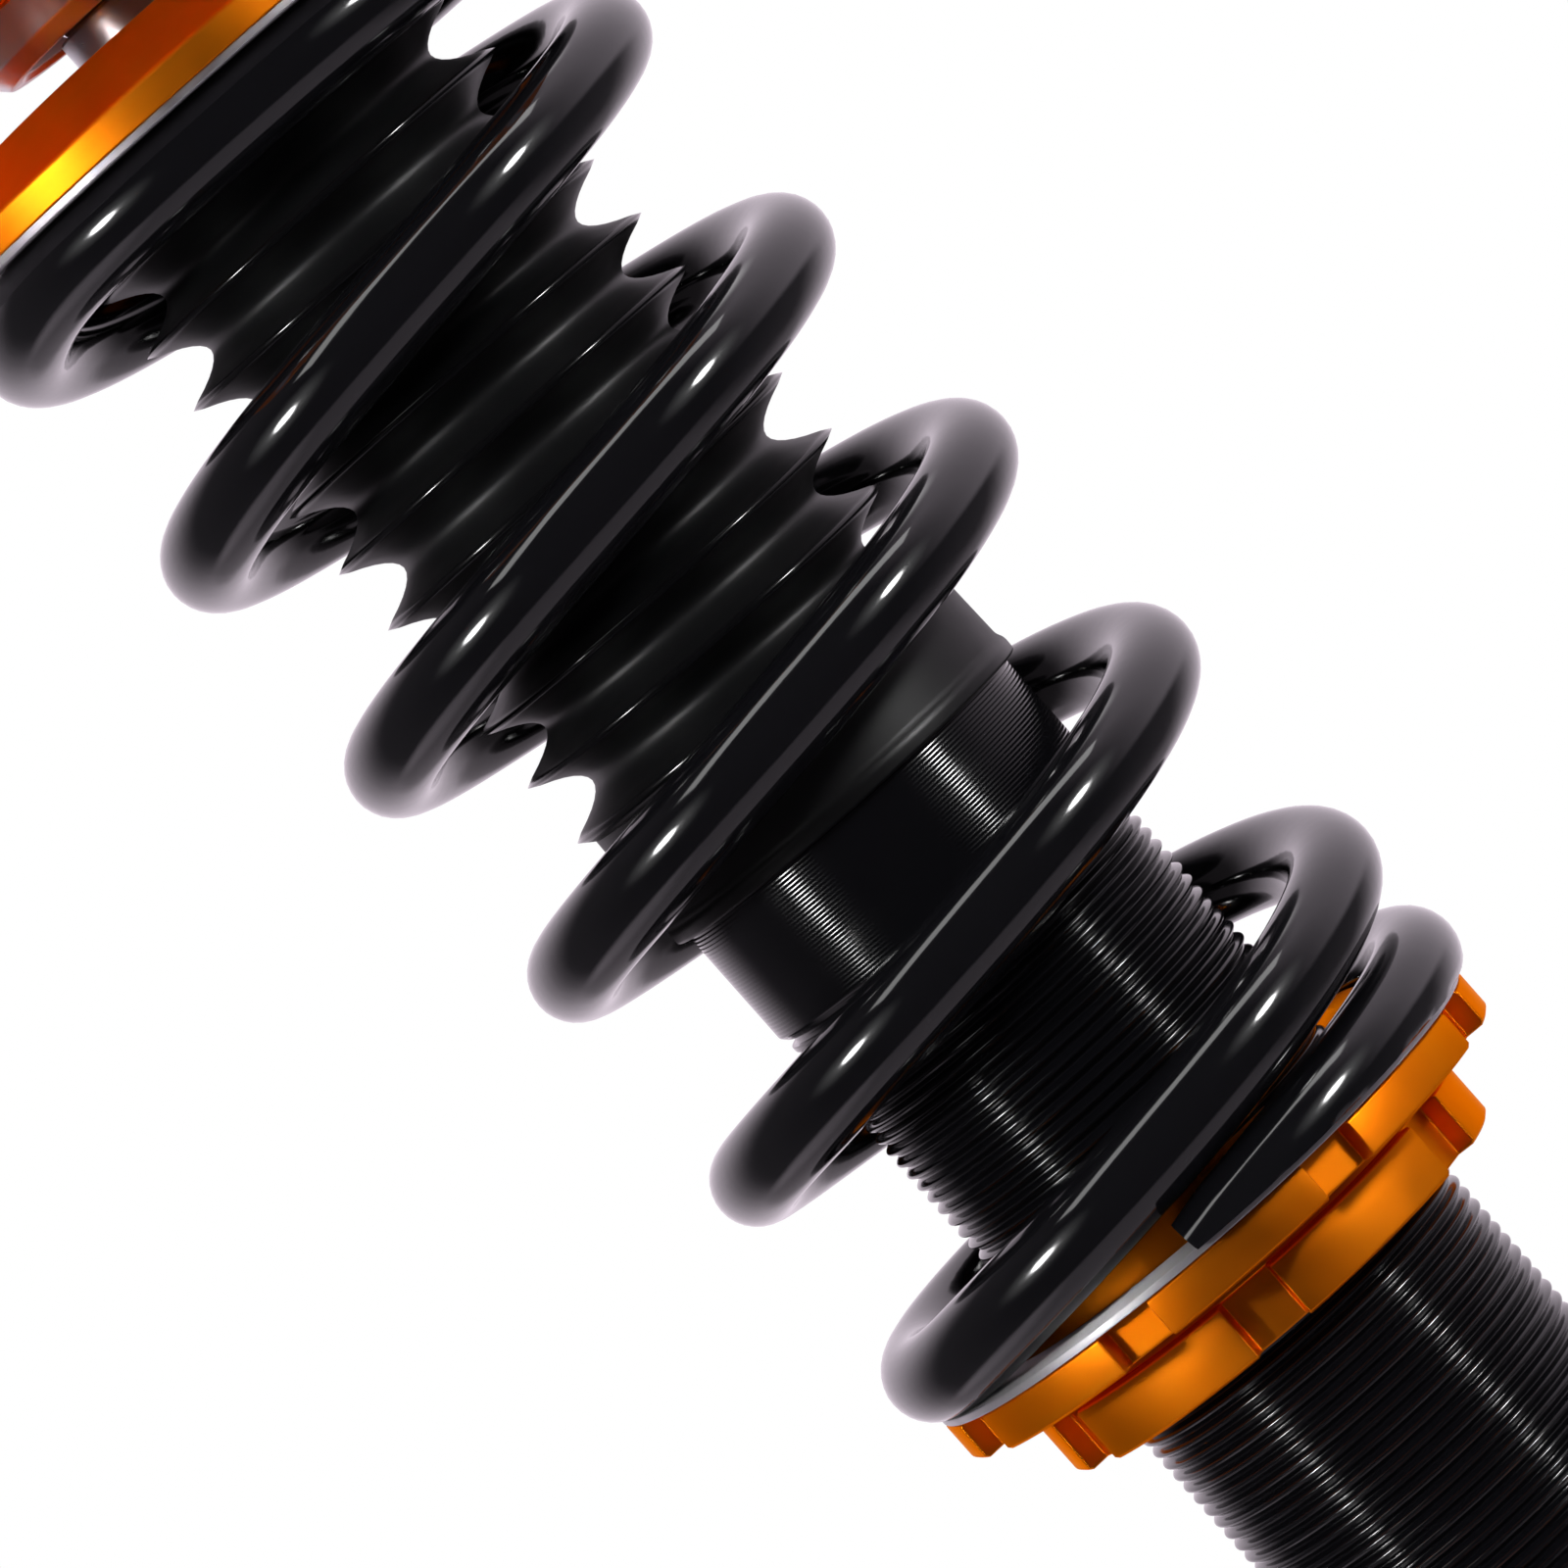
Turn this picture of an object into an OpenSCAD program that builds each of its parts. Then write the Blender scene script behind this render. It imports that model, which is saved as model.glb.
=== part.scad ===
// Coilover: a MacPherson strut with a threaded body, a coil spring on a
// height-adjustable perch, a screw-on knuckle bracket and a camber top mount.
// Origin: centre of the three tower studs, on the camber plate's upper face.
// +Z runs up the strut, +X points to the knuckle. Millimetres.

/* [Camber plate] */
// Thickness of the plate that bolts under the suspension tower
plate_t = 8; // [7:0.5:12]
// Diameter of the circle that the three tower studs stand on
stud_circle_d = 120; // [116:1:136]
// Distance from the centre to the middle of each side between two studs
plate_side = 56; // [55:1:62]
// Radius of the bowed sides
plate_bow_r = 105; // [95:1:140]
// Plate left outside each stud's centre
plate_stud_margin = 9; // [8:0.5:12]
// How far the bearing housing can be moved each way along X
camber_travel = 8; // [4:1:8]

/* [Tower studs] */
// Stud diameter
stud_d = 8; // [6:1:10]
// Stud length above the plate
stud_len = 22; // [16:1:30]
// Diameter of the stud's knurled collar inside the plate
stud_collar_d = 9.4; // [9:0.1:11]
// Diameter of the round head pressed into the plate's underside
stud_head_d = 13; // [12:0.5:15]
// Thickness of that head
stud_head_t = 3; // [2:0.5:4]

/* [Bearing housing] */
// Diameter of the housing's boss through the plate's slot
boss_d = 45; // [43:0.5:46]
// How far the boss hangs below the plate
boss_drop = 7.2; // [6:0.1:9]
// Chamfer round the boss's lower edge
boss_chamfer = 2.3; // [1:0.1:2.5]
// Gap between the boss and the sides of the slot
boss_gap = 0.3; // [0.2:0.1:0.6]
// Flange length along the camber slot
flange_len = 60; // [58:1:66]
// Flange width across the slot
flange_w = 76; // [74:1:80]
// Flange thickness above the plate
flange_t = 5; // [4:0.5:7]
// Diameter that trims the flange's corners
flange_round_d = 92; // [90:1:96]
// Opening in the flange round the rod nut
flange_hole_d = 30; // [29.5:0.5:31.5]
// Clamp screw diameter
screw_d = 6; // [5:1:6]
// Clamp screw position along the slot
screw_x = 14; // [13:0.5:15]
// Clamp screw position across the slot
screw_y = 30; // [29:0.5:31]
// Clamp screw head height, and half its diameter
screw_head = 5; // [4.5:0.5:6]
// Clamp screw length below its head
screw_len = 12; // [11:0.5:13]

/* [Spherical bearing] */
// Outer diameter of the race
race_d = 35; // [34:0.5:37]
// Height of the race
race_h = 12; // [11:0.5:13]
// Diameter of the ball
ball_d = 27; // [26:0.5:28]
// Width of the ball along the rod
ball_w = 18; // [17:0.5:20]
// Thickness of the retaining ring under the race
circlip_t = 1.4; // [1:0.1:1.6]
// Radial width of the retaining ring
circlip_w = 3.6; // [3:0.1:4]

/* [Piston rod] */
// Rod diameter
rod_d = 22; // [18:0.5:24]
// Diameter of the rod's upper end through the ball
rod_top_d = 14; // [12:0.5:15]
// Diameter of the rod's lower end through the piston
rod_tip_d = 12; // [10:0.5:14]
// Rod end left above the top nut
rod_end = 3; // [1:0.5:6]
// Hexagon key size in the rod's upper end
rod_key = 6; // [5:1:7]
// Rod nut width across flats
nut_af = 21; // [19:0.5:22]
// Rod nut height
nut_h = 11; // [8:0.5:13]
// Rod washer thickness
rod_washer_t = 2.5; // [2:0.5:4]
// Rod washer diameter
rod_washer_d = 20; // [19:0.5:22]
// Diameter of the collar between the ball and the upper spring seat
collar_d = 23.5; // [22:0.5:25]
// Height of that collar
collar_h = 5.3; // [4:0.1:7]

/* [Upper spring seat] */
// Rim diameter
hat_rim_d = 99; // [95:0.5:104]
// Rim thickness
hat_rim_t = 4.2; // [3:0.1:6]
// Rise of the cone from the rim to the flat top
hat_cone_h = 7; // [5:0.5:9]
// Diameter of the flat top
hat_top_d = 64; // [56:1:68]
// Thickness of the web that the rod passes through
hat_web_t = 8; // [6:0.5:9]
// Depth of the hub below the rim, inside the spring
hub_depth = 5.1; // [3:0.1:8]
// Wall of the hub
hub_wall = 3; // [2:0.1:3]

/* [Coil spring] */
// Inside diameter of the spring
spring_inner_d = 70.5; // [68:0.5:74]
// Wire diameter
wire_d = 12; // [10:0.5:13]
// Spring length as fitted
spring_len = 188.2; // [175:0.2:205]
// Turns from tip to tip
spring_turns = 6.7; // [5.5:0.01:7]
// Closed turns at each end
closed_turns = 0.78; // [0.6:0.01:0.9]
// Angle of the lower tip round the strut
tip_angle = 264; // [0:1:359]
// Height of the wire's centre at the ground tip
tip_z = -1.7; // [-2.5:0.1:0]
// Gap between the hub walls and the spring's inside
hub_gap = 1.25; // [0.8:0.05:2]

/* [Spring seats] */
// Outside diameter of the perch and the thin washer on it
seat_d = 88; // [86:0.5:93]
// Outside diameter of the thin washer under the upper seat
upper_washer_d = 98; // [94:0.5:98]
// Washer thickness
washer_t = 1.1; // [0.8:0.1:2]
// Gap between a washer and the hub that it goes round
washer_gap = 0.4; // [0.3:0.1:0.8]
// Perch flange thickness
perch_t = 5.7; // [4:0.1:8]
// Height of the perch's hub inside the spring
perch_hub_h = 5.4; // [5:0.1:14]
// Height of the perch's neck down to the lock ring
perch_neck_h = 2; // [1:0.1:4]
// Diameter of that neck
perch_neck_d = 66; // [62:0.5:68]
// Number of spanner notches in the perch
perch_notches = 8; // [6:1:10]
// Width of a perch notch
perch_notch_w = 8.4; // [6:0.1:10]
// Depth of a perch notch
perch_notch_d = 3; // [2:0.1:4]
// Angle of the first perch notch round the strut
perch_notch_angle = 291; // [270:1:314]

/* [Lock rings] */
// Lock ring diameter
lock_d = 70.2; // [69:0.1:75]
// Lock ring height
lock_h = 8.2; // [6:0.1:12]
// Number of spanner notches in a lock ring
lock_notches = 6; // [4:1:8]
// Width of a lock ring notch
lock_notch_w = 8.5; // [6:0.1:10]
// Depth of a lock ring notch
lock_notch_d = 3; // [2:0.1:4]
// Angle of the first notch of the perch's lock ring
lock_notch_angle = 264; // [240:1:300]
// Angle of the first notch of the bracket's lock ring
bracket_notch_angle = 282; // [240:1:300]
// Edge chamfer of perch and rings
ring_chamfer = 0.5; // [0.2:0.1:1]

/* [Damper body] */
// Outside diameter of the smooth part
body_d = 54; // [52:0.5:56]
// Outside diameter of the thread
thread_d = 53; // [51:0.5:54]
// Length of the body
body_len = 242; // [220:1:260]
// Distance from the upper seat's web to the top of the body
body_drop = 111.7; // [104:0.1:116]
// Length of the smooth part above the thread
smooth_len = 31.5; // [24:0.5:36]
// Width of the relief groove at the thread's upper end
relief_w = 1; // [0.5:0.1:2]
// Depth of that groove
relief_depth = 0.9; // [0.4:0.1:1.2]
// Pitch of the adjusting thread, which is drawn as plain rings
thread_pitch = 2; // [1.5:0.25:3]
// Depth of the thread
thread_depth = 0.9; // [0.6:0.1:1]
// Width of the flat on the thread's crest
thread_crest = 0.3; // [0.2:0.1:0.5]
// Cylinder bore
bore_d = 44; // [40:0.5:44]
// Bore at the top that the gland nut screws into
gland_bore_d = 48; // [46:0.5:49]
// Chamfer at both ends of the body
body_chamfer = 1; // [0.4:0.1:1.5]

/* [Seal head] */
// Thickness of the gland nut's flange on top of the body
gland_flange_t = 3; // [2:0.5:5]
// Length of the gland nut in the body
gland_len = 12; // [10:0.5:14]
// Wiper height, half of it inside the gland nut
wiper_h = 6; // [4:0.5:8]
// Wiper wall
wiper_wall = 3; // [2:0.5:4]
// Oil seal height
seal_h = 6; // [5:0.5:8]
// Rod guide height
guide_h = 14; // [12:0.5:16]
// Wall of the guide's bush
bush_wall = 1.5; // [1:0.5:2.5]
// Height and half the width of the snap ring under the guide
snap_t = 1.5; // [1:0.1:2]
// Wire diameter of the O-rings
o_ring_d = 2.4; // [2:0.1:3]
// Height of the rebound stop on the rod
rebound_h = 7.5; // [6:0.5:10]
// Wall of the rebound stop
rebound_wall = 5; // [3:0.5:6]

/* [Piston] */
// Piston height
piston_h = 18; // [16:0.5:20]
// Radial thickness of the piston band
band_t = 1.5; // [1:0.1:2]
// Height of the piston band
band_h = 10; // [8:0.5:12]
// Diameter of the oil ports
port_d = 3.5; // [2.5:0.1:4]
// Number of oil ports
port_count = 6; // [4:1:8]
// Thickness of one valve shim
shim_t = 0.5; // [0.3:0.1:0.8]
// Number of shims on each side of the piston
shim_count = 3; // [2:1:4]
// Piston nut width across flats
piston_nut_af = 19; // [17:0.5:22]
// Piston nut height
piston_nut_h = 9; // [7:0.5:11]
// Floating piston height
gas_piston_h = 16; // [12:0.5:20]
// Distance from the bottom of the body to the floating piston
gas_len = 50; // [45:1:56]
// Length of the plug that closes the body
plug_len = 14; // [10:0.5:16]
// Gas filling screw diameter
fill_d = 6; // [5:1:8]

/* [Bump stop] */
// Bump stop length
bump_len = 25; // [20:1:26]
// Bump stop diameter
bump_d = 38; // [36:0.5:40]
// Depth of the two grooves round the bump stop
bump_groove = 2.5; // [1:0.5:4]

/* [Dust boot] */
// Number of ridges
boot_ridges = 11; // [8:1:13]
// Diameter over the ridges
boot_ridge_d = 60.8; // [59:0.1:61.4]
// Diameter in the valleys
boot_valley_d = 45.8; // [45:0.1:48]
// Wall thickness
boot_wall = 1.2; // [1:0.1:1.4]
// Length of the cuff round the body
cuff_len = 17; // [14:0.5:20]
// Gap from the uppermost ridge to the hub above it
boot_neck_gap = 6; // [4:0.5:8]
// How far the cuff reaches down the body
cuff_grip = 13; // [10:0.5:14]
// Width of the lip round the cuff's lower edge
cuff_lip = 0.5; // [0.3:0.1:1]

/* [Knuckle bracket] */
// How far the socket reaches below the body's lower end
socket_reach = 8; // [4:1:12]
// Wall of the socket that the body screws into
socket_wall = 5; // [4:0.5:6]
// Length of the socket
socket_len = 65; // [60:1:72]
// Thickness of each ear
ear_t = 6; // [5:0.5:8]
// Gap between the ears for the knuckle
ear_gap = 30; // [26:0.5:34]
// Distance from the strut's axis to the knuckle bolts
bolt_x = 58; // [56:1:66]
// Distance between the knuckle bolts
bolt_spacing = 58; // [54:1:66]
// Knuckle bolt hole diameter
bolt_hole_d = 14.2; // [12.2:0.5:16.2]
// Ear radius round each bolt hole
ear_r = 14; // [13:0.5:15]
// Distance from the socket's top to the upper bolt
bolt_drop = 17; // [16.5:0.5:22]
// Thickness of the web that joins the ears
web_t = 5; // [4:0.5:6]

/* [Fits] */
// Radial clearance of a running or threaded fit
run_fit = 0.05; // [0.03:0.01:0.08]
// Radial clearance round rubber parts
soft_fit = 0.3; // [0.3:0.05:0.4]
// Gap between faces that close up only at the end of the travel
stop_gap = 0.3; // [0.3:0.1:0.6]

/* [Hidden] */
$fn = 96;
eps = 0.01;
stud_angles = [90, 210, 330];

// Wire rings in one turn of the spring, and sides of the wire
rings_per_turn = 24;
wire_sides = 8;
// Turns over which the closed end runs into the active pitch
lead_turns = 0.08;
// How quickly the ground end rises to its closed height
tip_power = 5;
// Height of the wire's centre on the closed turn
closed_z = wire_d / 2 - 0.8;

// Levels, from the tower face down
ball_z = -race_h / 2;
boss_bottom = -plate_t - boss_drop;
ball_top = ball_z + ball_w / 2;
nut_bottom = ball_top + rod_washer_t;
rod_top = nut_bottom + nut_h + rod_end;
hat_top = ball_z - ball_w / 2 - collar_h;
rim_top = hat_top - hat_cone_h;
rim_bottom = rim_top - hat_rim_t;
web_bottom = hat_top - hat_web_t;
hub_bottom = rim_bottom - hub_depth;
spring_top = rim_bottom - washer_t;
spring_bottom = spring_top - spring_len;
perch_top = spring_bottom - washer_t;
perch_bottom = perch_top - perch_t - perch_neck_h;
lock_bottom = perch_bottom - lock_h;
body_top = web_bottom - body_drop;
body_bottom = body_top - body_len;
seal_top = body_top - gland_len - stop_gap;
guide_top = seal_top - seal_h;
guide_bottom = guide_top - guide_h;
snap_bottom = guide_bottom - snap_t;
rebound_top = snap_bottom - stop_gap;
shims_top = rebound_top - rebound_h;
piston_top = shims_top - shim_count * shim_t;
piston_bottom = piston_top - piston_h;
piston_nut_top = piston_bottom - shim_count * shim_t;
rod_bottom = piston_nut_top - piston_nut_h - rod_end;
gas_piston_bottom = body_bottom + gas_len;
cuff_bottom = body_top - cuff_grip;
cuff_top = cuff_bottom + cuff_len;
boot_top = web_bottom - stop_gap;
socket_bottom = body_bottom - socket_reach;
socket_top = socket_bottom + socket_len;
bolt_upper_z = socket_top - bolt_drop;
bolt_lower_z = bolt_upper_z - bolt_spacing;

// Radii
slot_r = boss_d / 2 + boss_gap;
hub_r = spring_inner_d / 2 - hub_gap;
seat_r = seat_d / 2;
thread_r = thread_d / 2 + run_fit;
rod_r = rod_d / 2;
bore_r = bore_d / 2 - run_fit;
gland_r = gland_bore_d / 2 - run_fit;
socket_r = body_d / 2 + socket_wall;
ridge_r = boot_ridge_d / 2;
valley_r = boot_valley_d / 2;

// ---- Shapes that repeat ----

// A ring from z0 up to z1 with chamfered outer edges
module ring(r_in, r_out, z0, z1, c = 0) {
    rotate_extrude()
        polygon(c > 0
            ? [[r_in, z0], [r_out - c, z0], [r_out, z0 + c], [r_out, z1 - c], [r_out - c, z1], [r_in, z1]]
            : [[r_in, z0], [r_out, z0], [r_out, z1], [r_in, z1]]);
}

// A disc from z0 up to z1 with chamfered edges
module disc(r, z0, z1, c = 0) {
    ring(0, r, z0, z1, c);
}

// A round bar between two levels
module bar(r, z0, z1) {
    translate([0, 0, z0]) cylinder(r = r, h = z1 - z0);
}

// A hexagonal bar of the given width across flats
module hex_bar(af, z0, z1) {
    translate([0, 0, z0]) cylinder(r = af / sqrt(3), h = z1 - z0, $fn = 6);
}

// A hexagon nut with turned corners
module hex_nut(af, r_in, z0, z1) {
    difference() {
        intersection() {
            hex_bar(af, z0, z1);
            disc(af / sqrt(3), z0, z1, af / 12);
        }
        bar(r_in, z0 - 1, z1 + 1);
    }
}

// A slot along X, its centre at the origin
module slot_x(r, travel, z0, z1) {
    for (side = [-1, 1])
        translate([side * travel, 0, 0]) bar(r, z0, z1);
    translate([-travel, -r, z0]) cube([2 * travel, 2 * r, z1 - z0]);
}

// Radial spanner notches round a ring
module spanner_notches(count, first, r, w, depth, z0, z1) {
    for (i = [0 : count - 1])
        rotate([0, 0, first + i * 360 / count])
            translate([r - depth, -w / 2, z0 - 1]) cube([depth * 2, w, z1 - z0 + 2]);
}

// A lock ring whose lower face lies at z0
module lock_ring(z0, first) {
    difference() {
        ring(thread_r, lock_d / 2, z0, z0 + lock_h, ring_chamfer);
        spanner_notches(lock_notches, first, lock_d / 2, lock_notch_w, lock_notch_d, z0, z0 + lock_h);
    }
}

// A flat washer for the spring, from z0 up
module spring_washer(outside_d, z0) {
    ring(hub_r + washer_gap, outside_d / 2, z0, z0 + washer_t);
}

// An O-ring in its groove
module o_ring(r_out, z) {
    translate([0, 0, z])
        rotate_extrude()
            translate([r_out - o_ring_d / 2, 0]) circle(d = o_ring_d);
}

// The groove that an O-ring lies in
module o_groove(r_out, z) {
    ring(r_out - o_ring_d - run_fit, r_out + 1, z - o_ring_d * 0.65, z + o_ring_d * 0.65);
}

// ---- Top mount ----

module camber_plate() {
    color("#d0740f")
        difference() {
            plate_outline();
            slot_x(slot_r, camber_travel, -plate_t - 1, 1);
            for (a = stud_angles)
                rotate([0, 0, a])
                    translate([stud_circle_d / 2, 0, 0]) {
                        bar(stud_collar_d / 2 + run_fit, -plate_t - 1, 1);
                        bar(stud_head_d / 2 + run_fit, -plate_t - 1, -plate_t + stud_head_t);
                    }
            for (x = [-1, 1], y = [-1, 1])
                translate([x * screw_x, y * screw_y, 0]) bar(screw_d / 2 + run_fit, -plate_t - 1, 1);
        }
}

// A round plate trimmed by three bowed sides, each facing away from a stud
module plate_outline() {
    bow_shift = plate_bow_r - plate_side;
    intersection() {
        bar(stud_circle_d / 2 + plate_stud_margin, -plate_t, 0);
        rotate([0, 0, stud_angles[0]]) translate([bow_shift, 0, 0]) bar(plate_bow_r, -plate_t, 0);
        rotate([0, 0, stud_angles[1]]) translate([bow_shift, 0, 0]) bar(plate_bow_r, -plate_t, 0);
        rotate([0, 0, stud_angles[2]]) translate([bow_shift, 0, 0]) bar(plate_bow_r, -plate_t, 0);
    }
}

module tower_studs() {
    color("#c9ccd0")
        for (a = stud_angles)
            rotate([0, 0, a])
                translate([stud_circle_d / 2, 0, 0])
                    union() {
                        disc(stud_d / 2, -plate_t / 2, stud_len, 0.8);
                        bar(stud_collar_d / 2, -plate_t + stud_head_t - eps, 0);
                        bar(stud_head_d / 2, -plate_t, -plate_t + stud_head_t);
                    }
}

module housing_screws() {
    color("#2b2b2d")
        for (x = [-1, 1], y = [-1, 1])
            translate([x * screw_x, y * screw_y, flange_t])
                difference() {
                    union() {
                        disc(screw_head, 0, screw_head, 0.6);
                        bar(screw_d / 2, -screw_len, eps);
                    }
                    hex_bar(screw_d * 0.83, screw_head / 2, screw_head + 1);
                }
}

module bearing_housing() {
    color("#c4c7ca")
        difference() {
            union() {
                intersection() {
                    translate([-flange_len / 2, -flange_w / 2, 0]) cube([flange_len, flange_w, flange_t]);
                    disc(flange_round_d / 2, 0, flange_t, 0.6);
                }
                rotate_extrude()
                    polygon([[0, boss_bottom], [boss_d / 2 - boss_chamfer, boss_bottom],
                        [boss_d / 2, boss_bottom + boss_chamfer], [boss_d / 2, eps], [0, eps]]);
            }
            bar(race_d / 2 + run_fit, boss_bottom - 1, 0);
            bar(flange_hole_d / 2, -1, flange_t + 1);
            bar(race_d / 2 + circlip_w / 4, -race_h - circlip_t - run_fit, -race_h);
            for (x = [-1, 1], y = [-1, 1])
                translate([x * screw_x, y * screw_y, 0])
                    slot_x(screw_d / 2 + boss_gap, camber_travel, -1, flange_t + 1);
        }
}

module bearing_race() {
    color("#9a9da1")
        difference() {
            bar(race_d / 2, -race_h, 0);
            translate([0, 0, ball_z]) sphere(d = ball_d + 2 * run_fit);
        }
}

module bearing_circlip() {
    clip_out = race_d / 2 + circlip_w / 4 - run_fit;
    lug_r = 1.8;
    color("#4a4c50")
        difference() {
            union() {
                difference() {
                    ring(clip_out - circlip_w, clip_out, -race_h - circlip_t, -race_h);
                    translate([0, -circlip_w, -race_h - circlip_t - 1])
                        cube([race_d, 2 * circlip_w, circlip_t + 2]);
                }
                for (side = [-1, 1])
                    rotate([0, 0, side * 17])
                        translate([clip_out - circlip_w, 0, 0]) bar(lug_r, -race_h - circlip_t, -race_h);
            }
            for (side = [-1, 1])
                rotate([0, 0, side * 17])
                    translate([clip_out - circlip_w, 0, 0]) bar(lug_r / 2, -race_h - circlip_t - 1, 0);
        }
}

module spherical_ball() {
    color("#d5d7da")
        difference() {
            intersection() {
                translate([0, 0, ball_z]) sphere(d = ball_d);
                bar(ball_d, ball_z - ball_w / 2, ball_z + ball_w / 2);
            }
            bar(rod_top_d / 2 + run_fit, ball_z - ball_w, ball_z + ball_w);
        }
}

// ---- Rod, upper seat and piston ----

module rod_nut() {
    color("#c9ccd0") hex_nut(nut_af, rod_top_d / 2 + run_fit, nut_bottom, nut_bottom + nut_h);
}

module rod_washer() {
    color("#c9ccd0") ring(rod_top_d / 2 + run_fit, rod_washer_d / 2, ball_top, nut_bottom, 0.3);
}

module rod_collar() {
    color("#c4c7ca") ring(rod_top_d / 2 + run_fit, collar_d / 2, hat_top, hat_top + collar_h, 0.6);
}

module upper_spring_seat() {
    rim_r = hat_rim_d / 2;
    color("#d0740f")
        rotate_extrude()
            polygon([
                [rod_top_d / 2 + run_fit, hat_top],
                [hat_top_d / 2, hat_top],
                [rim_r - ring_chamfer, rim_top],
                [rim_r, rim_top - ring_chamfer],
                [rim_r, rim_bottom],
                [hub_r, rim_bottom],
                [hub_r, hub_bottom],
                [hub_r - hub_wall, hub_bottom],
                [hub_r - hub_wall, web_bottom],
                [rod_top_d / 2 + run_fit, web_bottom]]);
}

module upper_spring_washer() {
    color("#d9dadd") spring_washer(upper_washer_d, spring_top);
}

module bump_stop() {
    r_in = rod_r + soft_fit;
    r_out = bump_d / 2;
    neck = r_out - bump_groove;
    z = web_bottom;
    color("#e0d9a8")
        rotate_extrude()
            polygon([
                [r_in, z], [r_out, z],
                [r_out, z - bump_len * 0.26], [neck, z - bump_len * 0.33],
                [r_out - 0.5, z - bump_len * 0.42], [r_out - 1, z - bump_len * 0.6],
                [neck - 1, z - bump_len * 0.68], [r_out - 2.5, z - bump_len * 0.78],
                [neck - 3, z - bump_len], [r_in, z - bump_len]]);
}

module piston_rod() {
    color("#e3e5e8")
        difference() {
            union() {
                disc(rod_top_d / 2, web_bottom - eps, rod_top, 1);
                disc(rod_r, shims_top, web_bottom, 0.5);
                disc(rod_tip_d / 2, rod_bottom, shims_top + eps, 0.8);
            }
            hex_bar(rod_key, rod_top - nut_h / 2, rod_top + 1);
        }
}

module rebound_stop() {
    color("#222222")
        ring(rod_r + soft_fit, rod_r + rebound_wall, shims_top, rebound_top, 1);
}

module piston() {
    color("#8b8e92")
        difference() {
            disc(bore_r - band_t / 3, piston_bottom, piston_top, 0.5);
            bar(rod_tip_d / 2 + run_fit, piston_bottom - 1, piston_top + 1);
            ring(bore_r - band_t - run_fit, bore_r + 1, (piston_top + piston_bottom - band_h) / 2,
                (piston_top + piston_bottom + band_h) / 2);
            for (i = [0 : port_count - 1])
                rotate([0, 0, i * 360 / port_count])
                    translate([rod_r + port_d / 2, 0, 0]) bar(port_d / 2, piston_bottom - 1, piston_top + 1);
        }
}

module piston_band() {
    middle = (piston_top + piston_bottom) / 2;
    color("#3a352e")
        ring(bore_r - band_t, bore_r, middle - band_h / 2 + run_fit, middle + band_h / 2 - run_fit);
}

module valve_shims() {
    color("#b9bcc0")
        for (i = [0 : shim_count - 1]) {
            shim_r = rod_r + port_d + 1.5 - i * 2.5;
            ring(rod_tip_d / 2 + run_fit, shim_r, piston_top + i * shim_t, piston_top + (i + 1) * shim_t);
            ring(rod_tip_d / 2 + run_fit, shim_r, piston_bottom - (i + 1) * shim_t, piston_bottom - i * shim_t);
        }
}

module piston_nut() {
    color("#c9ccd0")
        hex_nut(piston_nut_af, rod_tip_d / 2 + run_fit, piston_nut_top - piston_nut_h, piston_nut_top);
}

// ---- Dust boot ----

// Level of ridge i, counted up from the cuff
first_ridge = cuff_top + 1.3;
last_ridge = hub_bottom - boot_neck_gap;
ridge_pitch = (last_ridge - first_ridge) / (boot_ridges - 1);
function ridge_z(i) = first_ridge + i * ridge_pitch;

// The bellows line from the first ridge to the last, moved in by one wall
function bellows(inset) = [for (i = [0 : boot_ridges - 1], step = [0 : 2])
    if (!(i == boot_ridges - 1 && step > 0))
        step == 0
            ? [ridge_r - inset, ridge_z(i)]
            : [valley_r - inset, ridge_z(i) + ridge_pitch * (step == 1 ? 0.36 : 0.64)]];

module dust_boot() {
    grip_r = body_d / 2 + run_fit;
    neck_r = valley_r + 3;
    outside = concat(
        [[grip_r + boot_wall + cuff_lip, cuff_bottom], [grip_r + boot_wall + cuff_lip, cuff_bottom + 2],
            [grip_r + boot_wall, cuff_bottom + 3], [grip_r + boot_wall - 0.4, cuff_top]],
        bellows(0),
        [[neck_r, last_ridge + ridge_pitch * 0.4], [neck_r, boot_top]]);
    inside = concat(
        [[grip_r, cuff_bottom], [grip_r, body_top + stop_gap], [grip_r - boot_wall, cuff_top]],
        bellows(boot_wall),
        [[neck_r - boot_wall, last_ridge + ridge_pitch * 0.4], [neck_r - boot_wall, boot_top]]);
    color("#1b1b1c")
        rotate_extrude()
            polygon(concat(outside, [for (i = [len(inside) - 1 : -1 : 0]) inside[i]]));
}

// ---- Damper body ----

// The thread's outline between two levels: a groove with sloping flanks for each pitch
function thread_line(r, z0, z1) = [
    for (i = [0 : floor((z1 - z0) / thread_pitch) - 1], side = [-1 : 1])
        [side == 0 ? r - thread_depth : r,
            z0 + (i + 0.5) * thread_pitch + side * (thread_pitch - thread_crest) / 2]];

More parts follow.
